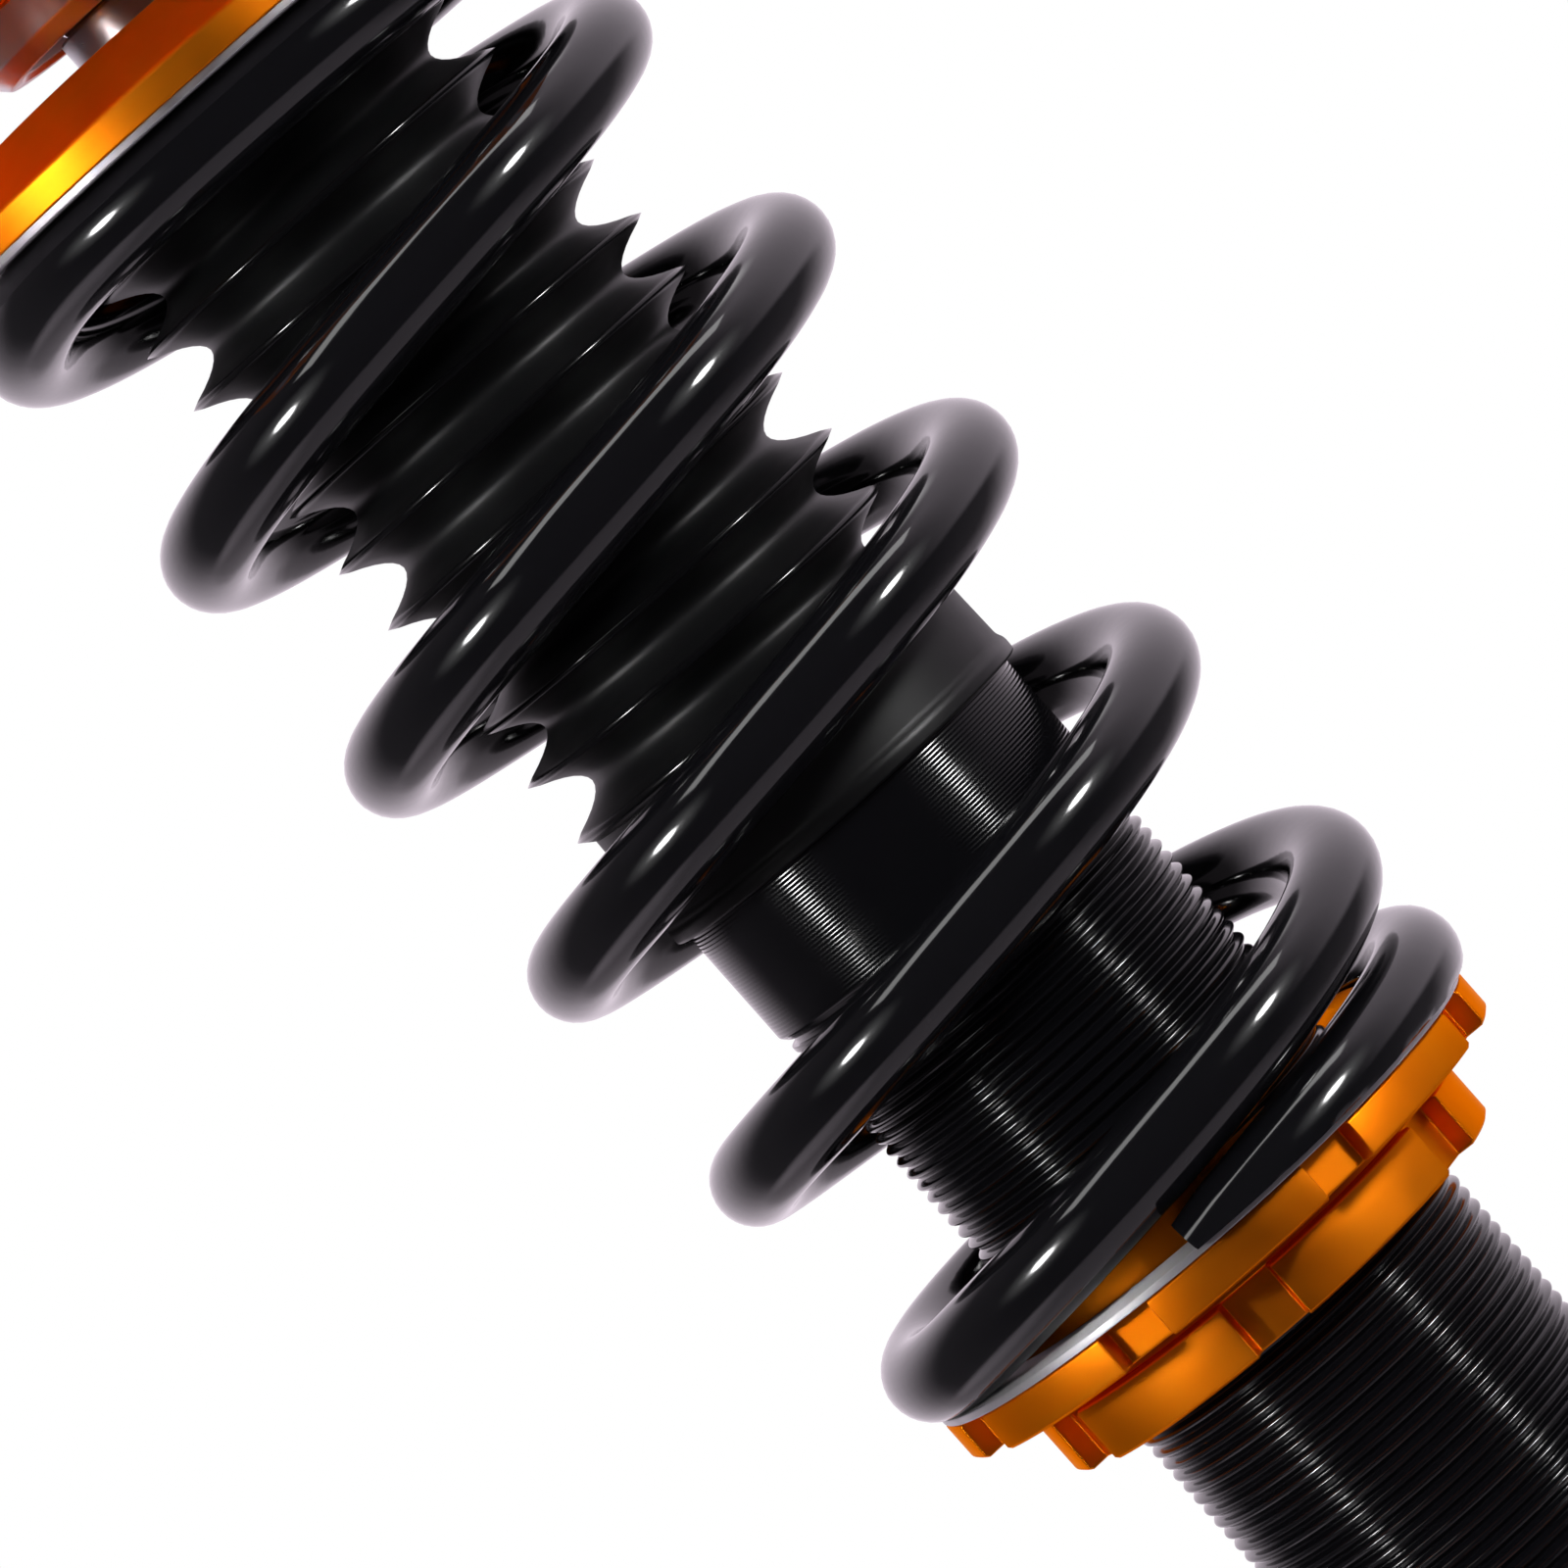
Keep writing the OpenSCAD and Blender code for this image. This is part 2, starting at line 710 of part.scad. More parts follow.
module damper_tube() {
    r = body_d / 2;
    crest_r = thread_d / 2;
    thread_bottom = body_bottom + body_chamfer;
    thread_top = body_top - smooth_len;
    below = [
        [bore_d / 2, body_bottom],
        [crest_r - body_chamfer, body_bottom],
        [crest_r, thread_bottom]];
    above = [
        [crest_r, thread_top - relief_w],
        [crest_r - relief_depth, thread_top - relief_w],
        [crest_r - relief_depth, thread_top],
        [r - body_chamfer, thread_top],
        [r, thread_top + body_chamfer],
        [r, body_top - body_chamfer],
        [r - body_chamfer, body_top],
        [gland_bore_d / 2, body_top],
        [gland_bore_d / 2, body_top - gland_len],
        [bore_d / 2, body_top - gland_len],
        [bore_d / 2, guide_bottom],
        [bore_d / 2 + snap_t / 2, guide_bottom],
        [bore_d / 2 + snap_t / 2, snap_bottom],
        [bore_d / 2, snap_bottom]];
    color("#1e1e20")
        rotate_extrude()
            polygon(concat(below, thread_line(crest_r, thread_bottom, thread_top - relief_w), above));
}

module gland_nut() {
    rod_gap = rod_r + 0.6;
    pocket_r = rod_r + wiper_wall + run_fit;
    flange_r = body_d / 2 - body_chamfer;
    top = body_top + gland_flange_t;
    color("#b4b7bb")
        rotate_extrude()
            polygon([
                [rod_gap, body_top - gland_len],
                [gland_r, body_top - gland_len],
                [gland_r, body_top],
                [flange_r, body_top],
                [flange_r, top - ring_chamfer],
                [flange_r - ring_chamfer, top],
                [pocket_r, top],
                [pocket_r, top - wiper_h / 2],
                [rod_gap, top - wiper_h / 2]]);
}

module rod_wiper() {
    top = body_top + gland_flange_t;
    color("#242425")
        rotate_extrude()
            polygon([
                [rod_r + soft_fit, top - wiper_h / 2],
                [rod_r + wiper_wall, top - wiper_h / 2],
                [rod_r + wiper_wall, top],
                [rod_r + run_fit + 1.2, top + wiper_h / 2],
                [rod_r + run_fit, top + wiper_h / 2]]);
}

module oil_seal() {
    color("#2a2a2c") ring(rod_r + run_fit, bore_r, guide_top, seal_top);
}

module rod_guide() {
    color("#a9acb0")
        difference() {
            ring(rod_r + bush_wall + run_fit, bore_r, guide_bottom, guide_top, 0.5);
            o_groove(bore_r, guide_bottom + guide_h / 2);
        }
}

module guide_bush() {
    color("#8a6b45") ring(rod_r + run_fit, rod_r + bush_wall, guide_bottom, guide_top);
}

module guide_o_ring() {
    color("#1b1b1c") o_ring(bore_r, guide_bottom + guide_h / 2);
}

module guide_snap_ring() {
    color("#6f7276")
        difference() {
            ring(bore_d / 2 - snap_t * 1.5, bore_d / 2 + snap_t / 2 - run_fit, snap_bottom + run_fit, guide_bottom);
            translate([0, -snap_t, snap_bottom - 1]) cube([bore_d, 2 * snap_t, snap_t + 2]);
        }
}

module gas_piston() {
    color("#a9acb0")
        difference() {
            disc(bore_r, gas_piston_bottom, gas_piston_bottom + gas_piston_h, 0.6);
            o_groove(bore_r, gas_piston_bottom + gas_piston_h / 2);
            bar(bore_r / 2, gas_piston_bottom + gas_piston_h * 0.7, gas_piston_bottom + gas_piston_h + 1);
        }
}

module gas_piston_o_ring() {
    color("#1b1b1c") o_ring(bore_r, gas_piston_bottom + gas_piston_h / 2);
}

module base_plug() {
    color("#9a9da1")
        difference() {
            disc(bore_r, body_bottom, body_bottom + plug_len, 0.5);
            bar(fill_d / 2 + run_fit, body_bottom - 1, body_bottom + plug_len + 1);
            bar(fill_d, body_bottom - 1, body_bottom + plug_len / 2);
        }
}

module gas_fill_screw() {
    color("#2b2b2d")
        difference() {
            union() {
                disc(fill_d - run_fit, body_bottom + 1, body_bottom + plug_len / 2, 0.4);
                bar(fill_d / 2, body_bottom + plug_len / 2 - eps, body_bottom + plug_len);
            }
            hex_bar(fill_d * 0.8, body_bottom, body_bottom + plug_len / 4);
        }
}

// ---- Coil spring ----

half_turns = spring_turns / 2;
active_pitch = (spring_len / 2 - closed_z) / (half_turns - closed_turns - lead_turns / 2);
coil_r = (spring_inner_d + wire_d) / 2;
ring_count = ceil(spring_turns * rings_per_turn);

// Height of the wire's centre above the lower seat, t turns from a tip
function closed_height(t) = tip_z + (closed_z - tip_z) * (1 - pow(1 - t / closed_turns, tip_power));
function active_turns(x) = x < lead_turns ? x * x / (2 * lead_turns) : x - lead_turns / 2;
function lower_height(t) = t < closed_turns
    ? closed_height(t)
    : closed_z + active_pitch * active_turns(t - closed_turns);
function wire_height(t) = t <= half_turns
    ? lower_height(t)
    : spring_len - lower_height(spring_turns - t);

function coil_turn(i) = i * spring_turns / ring_count;
function wire_centre(i) = [
    coil_r * cos(tip_angle + 360 * coil_turn(i)),
    coil_r * sin(tip_angle + 360 * coil_turn(i)),
    wire_height(coil_turn(i))];

// One point of the wire's surface, with the ends ground flat
function wire_point(i, side) =
    let (a = 360 * (side + 0.5) / wire_sides,
        turn = tip_angle + 360 * coil_turn(i),
        r = coil_r + wire_d / 2 * cos(a),
        z = wire_height(coil_turn(i)) + wire_d / 2 * sin(a))
    [r * cos(turn), r * sin(turn), min(max(z, 0), spring_len)];

module coil_spring() {
    points = [for (i = [0 : ring_count], side = [0 : wire_sides - 1]) wire_point(i, side)];
    skin = [for (i = [0 : ring_count - 1], side = [0 : wire_sides - 1])
        let (next = (side + 1) % wire_sides,
            a = i * wire_sides + side,
            b = i * wire_sides + next)
        each [[a, a + wire_sides, b], [b, a + wire_sides, b + wire_sides]]];
    first_cap = [for (side = [1 : wire_sides - 2]) [0, side, side + 1]];
    last = ring_count * wire_sides;
    last_cap = [for (side = [1 : wire_sides - 2]) [last, last + side + 1, last + side]];
    turn_gaps = [for (i = [0 : ring_count - rings_per_turn / 2],
        j = [i + rings_per_turn / 2 : min(ring_count, i + rings_per_turn * 2)])
        norm(wire_centre(j) - wire_centre(i)) - wire_d];
    echo(str("coil_spring least gap between turns, mm: ", min(turn_gaps)));
    color("#141416")
        translate([0, 0, spring_bottom])
            polyhedron(points = points, faces = concat(skin, first_cap, last_cap), convexity = 12);
}

// ---- Perch, washers and lock rings ----

module lower_spring_washer() {
    color("#d9dadd") spring_washer(seat_d, perch_top);
}

module spring_perch() {
    flange_bottom = perch_top - perch_t;
    hub_top = spring_bottom + perch_hub_h;
    color("#d0740f")
        difference() {
            rotate_extrude()
                polygon([
                    [thread_r, perch_bottom],
                    [perch_neck_d / 2, perch_bottom],
                    [perch_neck_d / 2, flange_bottom],
                    [seat_r - ring_chamfer, flange_bottom],
                    [seat_r, flange_bottom + ring_chamfer],
                    [seat_r, perch_top - ring_chamfer],
                    [seat_r - ring_chamfer, perch_top],
                    [hub_r, perch_top],
                    [hub_r, hub_top - ring_chamfer],
                    [hub_r - ring_chamfer, hub_top],
                    [thread_r, hub_top]]);
            spanner_notches(perch_notches, perch_notch_angle, seat_r, perch_notch_w, perch_notch_d,
                flange_bottom, perch_top);
        }
}

module perch_lock_ring() {
    color("#d0740f") lock_ring(lock_bottom, lock_notch_angle);
}

module bracket_lock_ring() {
    color("#d0740f") lock_ring(socket_top, bracket_notch_angle);
}

// ---- Knuckle bracket ----

module bracket_socket() {
    color("#1e1e20") ring(thread_r, socket_r, socket_bottom, socket_top, body_chamfer);
}

module knuckle_bracket() {
    ear_top = bolt_upper_z + ear_r;
    ear_bottom = bolt_lower_z - ear_r;
    half_gap = ear_gap / 2;
    color("#232325")
        difference() {
            union() {
                for (side = [-1, 1])
                    translate([0, side * (half_gap + ear_t / 2), 0]) {
                        translate([0, -ear_t / 2, ear_bottom])
                            cube([bolt_x, ear_t, ear_top - ear_bottom]);
                        translate([bolt_x, -ear_t / 2, bolt_lower_z])
                            cube([ear_r, ear_t, bolt_spacing]);
                        for (z = [bolt_upper_z, bolt_lower_z])
                            translate([bolt_x, 0, z])
                                rotate([90, 0, 0]) cylinder(r = ear_r, h = ear_t, center = true);
                    }
                translate([0, -half_gap - eps, socket_bottom])
                    cube([socket_r + web_t, ear_gap + 2 * eps, socket_len - bolt_drop + ear_r]);
            }
            bar(socket_r + run_fit, ear_bottom - 1, ear_top + 1);
            translate([bolt_x, 0, 0])
                for (z = [bolt_upper_z, bolt_lower_z])
                    translate([0, 0, z])
                        rotate([90, 0, 0]) cylinder(d = bolt_hole_d, h = ear_gap + 4 * ear_t, center = true);
        }
}

camber_plate();
tower_studs();
housing_screws();
bearing_housing();
bearing_race();
bearing_circlip();
spherical_ball();
rod_nut();
rod_washer();
rod_collar();
upper_spring_seat();
upper_spring_washer();
bump_stop();
piston_rod();
rebound_stop();
piston();
piston_band();
valve_shims();
piston_nut();
dust_boot();
damper_tube();
gland_nut();
rod_wiper();
oil_seal();
rod_guide();
guide_bush();
guide_o_ring();
guide_snap_ring();
gas_piston();
gas_piston_o_ring();
base_plug();
gas_fill_screw();
coil_spring();
lower_spring_washer();
spring_perch();
perch_lock_ring();
bracket_lock_ring();
bracket_socket();
knuckle_bracket();
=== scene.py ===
# %% [markdown]
# # A coilover strut, dressed for a studio picture
# The object is a MacPherson strut with a coil spring on a threaded body. Its measured solids come
# from a CAD program and are loaded first. They give the levels below, so each piece made here sits
# where the machine part sits.

# %% Load the measured parts
import math

import bmesh
import bpy
import numpy as np
from mathutils import Matrix, Vector


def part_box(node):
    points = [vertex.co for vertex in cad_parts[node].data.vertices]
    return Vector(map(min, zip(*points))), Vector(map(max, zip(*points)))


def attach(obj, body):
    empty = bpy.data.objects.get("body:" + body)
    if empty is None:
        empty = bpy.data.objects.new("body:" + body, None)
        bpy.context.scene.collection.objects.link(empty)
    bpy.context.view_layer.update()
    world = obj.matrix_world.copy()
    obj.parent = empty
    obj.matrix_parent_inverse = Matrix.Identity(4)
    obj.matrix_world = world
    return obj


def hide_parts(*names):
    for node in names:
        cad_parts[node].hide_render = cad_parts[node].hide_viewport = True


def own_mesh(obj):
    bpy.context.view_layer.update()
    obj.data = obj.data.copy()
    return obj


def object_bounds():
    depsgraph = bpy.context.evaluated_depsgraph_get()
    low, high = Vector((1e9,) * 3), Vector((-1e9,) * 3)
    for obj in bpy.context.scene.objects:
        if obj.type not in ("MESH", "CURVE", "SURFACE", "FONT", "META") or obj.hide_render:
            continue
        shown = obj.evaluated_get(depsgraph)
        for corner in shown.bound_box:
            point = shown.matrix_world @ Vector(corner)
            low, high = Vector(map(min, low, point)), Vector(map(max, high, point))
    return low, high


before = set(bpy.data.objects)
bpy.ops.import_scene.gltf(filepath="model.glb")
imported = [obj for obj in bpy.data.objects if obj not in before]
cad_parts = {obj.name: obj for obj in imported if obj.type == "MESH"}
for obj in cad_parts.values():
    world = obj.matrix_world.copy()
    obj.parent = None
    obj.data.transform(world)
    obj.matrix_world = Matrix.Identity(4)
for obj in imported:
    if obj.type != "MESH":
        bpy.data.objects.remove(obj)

cad_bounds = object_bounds()


# %% [markdown]
# ## Millimetres and levels
# Workshop drawings are in millimetres and Blender's scene is in metres. Shapes are written in
# millimetres and scaled once, when a mesh is made. `span` reads the lowest and highest level of a CAD
# part, so no level is typed twice.

# %% Units and levels
MM = 0.001


def span(node):
    low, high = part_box(node)
    return low.z / MM, high.z / MM


print("spring from", span("coil_spring"), "mm")


# %% [markdown]
# ## Camera
# A long lens from about a metre away, close to side on. The strut leans 41.5 degrees across the frame,
# so the camera is rolled and the strut stays upright in its own axes. A track-to constraint would aim
# it too, but not roll it.

# %% Camera
LENS_MM = 197
ROLL = math.radians(-41.5)
eye = Vector((-0.0049, -1.098, -0.085))
aim = Vector((-0.0049, 0, -0.1465))

lens = bpy.data.cameras.new("studio_camera")
lens.lens = LENS_MM
lens.sensor_width = 36
camera = bpy.data.objects.new("studio_camera", lens)
bpy.context.scene.collection.objects.link(camera)
level_view = (aim - eye).to_track_quat("-Z", "Y").to_matrix()
turn = level_view @ Matrix.Rotation(ROLL, 3, "Z")
camera.matrix_world = Matrix.Translation(eye) @ turn.to_4x4()
bpy.context.scene.camera = camera
bpy.context.scene.view_settings.view_transform = "Standard"
print("camera", LENS_MM, "mm, rolled", round(math.degrees(ROLL), 2), "degrees")


# %% [markdown]
# ## Three small helpers for materials
# Colours are picked as sRGB hex and Blender's shaders work on linear light, so `linear` turns one into
# the other. `add` makes a node: its settings, its inputs, each a number or a node's output to link,
# and the output to hand back. `fade` steps smoothly from one level to another. Its levels can be
# nodes too, so steps stack like coats of paint.

# %% Colour and node helpers
def linear(colour):
    parts = [int(colour[i:i + 2], 16) / 255 for i in (1, 3, 5)]
    return tuple(p / 12.92 if p <= 0.04045 else ((p + 0.055) / 1.055) ** 2.4 for p in parts) + (1,)


def add(tree, kind, settings, inputs, output=None):
    new = tree.nodes.new("ShaderNode" + kind)
    for name, value in settings.items():
        setattr(new, name, value)
    for name, value in inputs.items():
        if isinstance(value, bpy.types.NodeSocket):
            tree.links.new(value, new.inputs[name])
        else:
            new.inputs[name].default_value = value
    return new if output is None else new.outputs[output]


def fade(tree, value, start, stop, low=0.0, high=1.0):
    return add(tree, "MapRange", {"interpolation_type": "SMOOTHSTEP"},
               {"Value": value, "From Min": start, "From Max": stop, "To Min": low, "To Max": high},
               "Result")


print("mid grey is linear", round(linear("#808080")[0], 3))


# %% [markdown]
# ## Studio
# Gloss black shows nothing but reflections, so the room is the finish. The wall behind the object is
# white and wraps every edge in light. On the right the white comes forward to the side, and on
# the left it stops, so the strands fall off to black. The table is white on the left, grey in front
# and dark on the right, and above the lens it is dark. Backdrops would hide the object from other
# sides, so the world is painted by direction, in layers. X, Y and Z run from -1 to 1 to the right,
# back and up, and each fade gives where it starts and ends.

# %% Room by direction
DARK = 0.03
SIDE_LEFT, SIDE_RIGHT = 0.1, 1.0
TABLE_LEFT, TABLE_FRONT, TABLE_RIGHT = 0.95, 0.48, 0.15
FRONT_ENDS, SIDE_STARTS = math.radians(50), math.radians(110)
TABLE_LEAN = -0.15

world = bpy.data.worlds.new("studio_world")
world.use_nodes = True
bpy.context.scene.world = world
sky = world.node_tree
axes = add(sky, "SeparateXYZ", {}, {"Vector": add(sky, "TexCoord", {}, {}, "Generated")}).outputs
to_lens = add(sky, "Math", {"operation": "MULTIPLY"}, {0: axes["Y"], 1: -1.0}, "Value")
heading = add(sky, "Math", {"operation": "ARCTAN2"}, {0: axes["X"], 1: to_lens}, "Value")
turned = add(sky, "Math", {"operation": "ABSOLUTE"}, {0: heading}, "Value")
right = fade(sky, axes["Z"], -0.15, 0.0, TABLE_RIGHT, SIDE_RIGHT)
side = fade(sky, axes["X"], -0.3, 0.3, SIDE_LEFT, right)
aside = fade(sky, turned, FRONT_ENDS, SIDE_STARTS, DARK, side)
walls = fade(sky, axes["Y"], 0.4, 0.9, aside, 1.0)
roofed = fade(sky, axes["Z"], 0.75, 0.97, walls, DARK)
table = fade(sky, axes["X"], 0.5, 0.8, fade(sky, axes["X"], -0.7, -0.5, TABLE_LEFT, TABLE_FRONT),
             TABLE_RIGHT)
leaning = add(sky, "Math", {"operation": "MULTIPLY_ADD"}, {0: axes["Y"], 1: TABLE_LEAN, 2: axes["Z"]},
              "Value")
room = fade(sky, leaning, -0.56, -0.68, roofed, table)
print("the room has 6 layers")


# %% [markdown]
# ## One world for three kinds of ray
# A reflection sees the room. Diffuse light gets one even level, or the dark sides would dull it. The
# lens sees pure white. The room is a trace pink, like the grey edges that it gives to black gloss.

# %% Light for each kind of ray
AMBIENT = 0.3
WHITE = (1, 1, 1, 1)

path = add(sky, "LightPath", {}, {}).outputs
lit = fade(sky, path["Is Glossy Ray"], 0.0, 1.0, AMBIENT, room)
direct = add(sky, "Math", {"operation": "MAXIMUM"},
             {0: path["Is Camera Ray"], 1: path["Is Transmission Ray"]}, "Value")
backdrop = sky.nodes["Background"].inputs
sky.links.new(fade(sky, direct, 0.0, 1.0, lit, 1.0), backdrop["Strength"])
sky.links.new(add(sky, "Mix", {"data_type": "RGBA"},
                  {"Factor": direct, "A": linear("#FFF1FE"), "B": WHITE}, "Result"), backdrop["Color"])
print("diffuse light is", AMBIENT)


# %% [markdown]
# ## Lamps
# Two soft boxes stand some 55 degrees to either side of the lens and 18 degrees up. Each has a small
# bright heart, the white spot on every strand of the spring, and dim wings that draw it out along the
# wire. An even lamp would cut a hard edge, so the light's own coordinates dim it towards its rim. A
# third box hangs behind the object, and a long even strip overhead draws the line along each strand.

# %% Lamps
def soft_box(name, towards, distance, width, height, radiance, heart=0.0, wings=0.0):
    """The heart's reach is a share of the box, and without a heart the box is even."""
    lamp = bpy.data.lights.new(name, "AREA")
    lamp.shape = "RECTANGLE"
    lamp.size, lamp.size_y = width, height
    lamp.energy = radiance * math.pi * width * height
    if heart:
        lamp.use_nodes = True
        tree = lamp.node_tree
        spot = add(tree, "NewGeometry", {}, {}, "Parametric")
        centred = add(tree, "VectorMath", {"operation": "MULTIPLY_ADD"},
                      {0: spot, 1: (1, 1, 0), 2: (-0.5, -0.5, 0)}, "Vector")
        away = add(tree, "VectorMath", {"operation": "LENGTH"}, {0: centred}, "Value")
        glow = add(tree, "Math", {"operation": "ADD"},
                   {0: fade(tree, away, heart, 0.0), 1: fade(tree, away, 0.5, 0.0, 0.0, wings)}, "Value")
        tree.links.new(glow, tree.nodes["Emission"].inputs["Strength"])
    holder = bpy.data.objects.new(name, lamp)
    holder.location = aim + towards * distance
    holder.rotation_euler = (-towards).to_track_quat("-Z", "Y").to_euler()
    holder.visible_camera = False
    bpy.context.scene.collection.objects.link(holder)


def bearing(azimuth, elevation):
    """Direction from the object: azimuth 0 points to the lens, positive to its right."""
    across, up = math.radians(azimuth), math.radians(elevation)
    return Vector((math.sin(across) * math.cos(up), -math.cos(across) * math.cos(up), math.sin(up)))


for name, azimuth in (("left_soft_box", -56), ("right_soft_box", 53)):
    soft_box(name, bearing(azimuth, 18), 1.25, 1.1, 1.0, 200, heart=0.13, wings=0.006)
soft_box("top_soft_box", bearing(155, 62), 1.1, 0.8, 0.8, 6, heart=0.5)
soft_box("strip_box", bearing(14, 78), 1.25, 1.9, 0.28, 3.6)
print("3 soft boxes and a strip")


# %% [markdown]
# ## Places on the object
# Patterns are laid out in an object's own space, so they move with it. The distance from the strut's
# axis tells a fold's tip from its valley, and the floor's rim from its middle.

# %% Places on the object
def place(tree):
    return add(tree, "TexCoord", {}, {}, "Object")


def axis_distance(tree):
    flat = add(tree, "VectorMath", {"operation": "MULTIPLY"}, {0: place(tree), 1: (1, 1, 0)}, "Vector")
    return add(tree, "VectorMath", {"operation": "LENGTH"}, {0: flat}, "Value")


print("the strut's axis is the frame's Z axis")


# %% [markdown]
# ## Finishes: a start for each
# Each finish is one Principled shader. Plain numbers are set on its own sockets, where an exporter
# can read them, and only what varies is linked. No real surface is even, so each finish's roughness
# wanders a little, by a noise whose size is in millimetres.

# %% Start a finish
def new_finish(name, colour, rough, metal=0.0, **more):
    material = bpy.data.materials.new(name)
    material.use_nodes = True
    tree = material.node_tree
    shader = tree.nodes["Principled BSDF"]
    shader.inputs["Base Color"].default_value = linear(colour)
    shader.inputs["Roughness"].default_value = rough
    shader.inputs["Metallic"].default_value = metal
    for socket, value in more.items():
        shader.inputs[socket.replace("_", " ")].default_value = value
    return material, tree, shader


def noise(tree, size_mm, detail):
    return add(tree, "TexNoise", {},
               {"Scale": 1 / (size_mm * MM), "Detail": detail, "Vector": place(tree)}, "Fac")


def spread(tree, size_mm, detail, low, high):
    """Noise keeps near its middle, so this stretches it to reach both ends."""
    return add(tree, "MapRange", {}, {"Value": noise(tree, size_mm, detail), "From Min": 0.3,
                                      "From Max": 0.7, "To Min": low, "To Max": high}, "Result")


def wander(tree, shader, size_mm, detail, low, high):
    """Roughness between two levels."""
    tree.links.new(spread(tree, size_mm, detail, low, high), shader.inputs["Roughness"])


def patchy(tree, shader, size_mm, base):
    """Roughness that already varies, give or take 0.03."""
    extra = spread(tree, size_mm, 4.0, -0.03, 0.03)
    both = add(tree, "Math", {"operation": "ADD"}, {0: base, 1: extra}, "Value")
    tree.links.new(both, shader.inputs["Roughness"])


def two_tone(tree, shader, size_mm, detail, first, second):
    """Base colour between two close shades."""
    shade = add(tree, "Mix", {"data_type": "RGBA"},
                {"Factor": spread(tree, size_mm, detail, 0.0, 1.0),
                 "A": linear(first), "B": linear(second)}, "Result")
    tree.links.new(shade, shader.inputs["Base Color"])


def dent(tree, shader, height, depth_mm):
    bump = add(tree, "Bump", {}, {"Height": height, "Distance": depth_mm * MM}, "Normal")
    tree.links.new(bump, shader.inputs["Normal"])


print("a finish starts as one Principled shader")


# %% [markdown]
# ## Floor
# A pale round floor lies a little below the bracket's lowest setting. Most of what the lens sees of
# it glows white, and all of it at the rim, so it joins the white wall. The rest is matt and keeps the
# soft shadow.

# %% Floor
FLOOR_GAP, FLOOR_RADIUS = 0.026, 0.55
GLOW_MIDDLE, GLOW_RIM = 0.7, 1.0

floor_mesh = bpy.data.meshes.new("floor")
rim = [(FLOOR_RADIUS * math.cos(a), FLOOR_RADIUS * math.sin(a), cad_bounds[0].z - FLOOR_GAP)
       for a in np.linspace(0, 2 * math.pi, 96, endpoint=False)]
floor_mesh.from_pydata(rim, [], [list(range(96))])
floor = bpy.data.objects.new("floor", floor_mesh)
bpy.context.scene.collection.objects.link(floor)
floor.visible_glossy = False

paper, tree, shader = new_finish("matt_white_paper", "#E4E4E6", 0.9)
glow = add(tree, "Emission", {}, {"Color": WHITE}, "Emission")
share = fade(tree, axis_distance(tree), 0.1, 0.9 * FLOOR_RADIUS, GLOW_MIDDLE, GLOW_RIM)
seen = add(tree, "Math", {"operation": "MULTIPLY"},
           {0: add(tree, "LightPath", {}, {}, "Is Camera Ray"), 1: share}, "Value")
mixed = add(tree, "MixShader", {}, {0: seen, 1: shader.outputs["BSDF"], 2: glow}, "Shader")
tree.links.new(mixed, tree.nodes["Material Output"].inputs["Surface"])
floor_mesh.materials.append(paper)
print("floor at", round(rim[0][2], 3), "m")


# %% [markdown]
# ## Lathe marks
# A turned part carries fine rings round its axis, one for each step of the tool. One-dimensional noise
# of the distance from the axis plus the level gives them on cylinders, faces and cones alike. A wave
# texture would repeat too evenly. Rings too fine to see still stretch highlights: anisotropy.

# %% Lathe marks
def along_profile(tree):
    level = add(tree, "SeparateXYZ", {}, {"Vector": place(tree)}, "Z")
    return add(tree, "Math", {"operation": "ADD"}, {0: axis_distance(tree), 1: level}, "Value")


def lathe_marks(tree, feed_mm):
    return add(tree, "TexNoise", {"noise_dimensions": "1D"},
               {"W": along_profile(tree), "Scale": 1 / (feed_mm * MM), "Detail": 3.0}, "Fac")


def brush_round(tree, shader, amount):
    tangent = add(tree, "Tangent", {"direction_type": "RADIAL", "axis": "Z"}, {}, "Tangent")
    tree.links.new(tangent, shader.inputs["Tangent"])
    shader.inputs["Anisotropic"].default_value = amount
    shader.inputs["Anisotropic Rotation"].default_value = 0.25


print("lathe marks follow the profile")


# %% [markdown]
# ## Gloss black powder coat (spring)
# Powder coat is a baked plastic film about 0.08 mm thick on shot-peened steel. It flows into a deep
# gloss with a very slight orange peel of about 3 mm, which softens the ends of bright reflections.

# %% Gloss black powder coat
powder_gloss, tree, shader = new_finish("gloss_black_powder_coat", "#0A0A0C", 0.085, IOR=1.52)
dent(tree, shader, noise(tree, 3.0, 1.0), 0.012)
wander(tree, shader, 9.0, 3.0, 0.07, 0.11)
print("made", powder_gloss.name)


# %% [markdown]
# ## Moulded rubber (boot, seals)
# Moulded EPDM has a faint bloom that scatters light, so its valleys look dull and almost black. The
# tips of the folds are rubbed smooth and catch thin bright lines.

# %% Moulded rubber
DULL, RUBBED = 0.48, 0.1
VALLEYS_END, TIPS_START = 28.2 * MM, 29.8 * MM

rubber, tree, shader = new_finish("moulded_black_rubber", "#080809", 0.2, IOR=1.5,
                                  Specular_IOR_Level=0.3)
dent(tree, shader, noise(tree, 0.9, 3.0), 0.006)
patchy(tree, shader, 6.0, fade(tree, axis_distance(tree), VALLEYS_END, TIPS_START, DULL, RUBBED))
print("made", rubber.name)


# %% [markdown]
# ## Satin black turned body
# The strut's tube is turned, threaded and then coated so thinly that the 0.5 mm lathe feed shows. The
# rings scatter light up and down but hardly sideways, which draws two narrow upright bands. The feed
# of one tool is even, so here the rings are a plain sine.

# %% Satin black turned steel
FEED_MM = 0.54

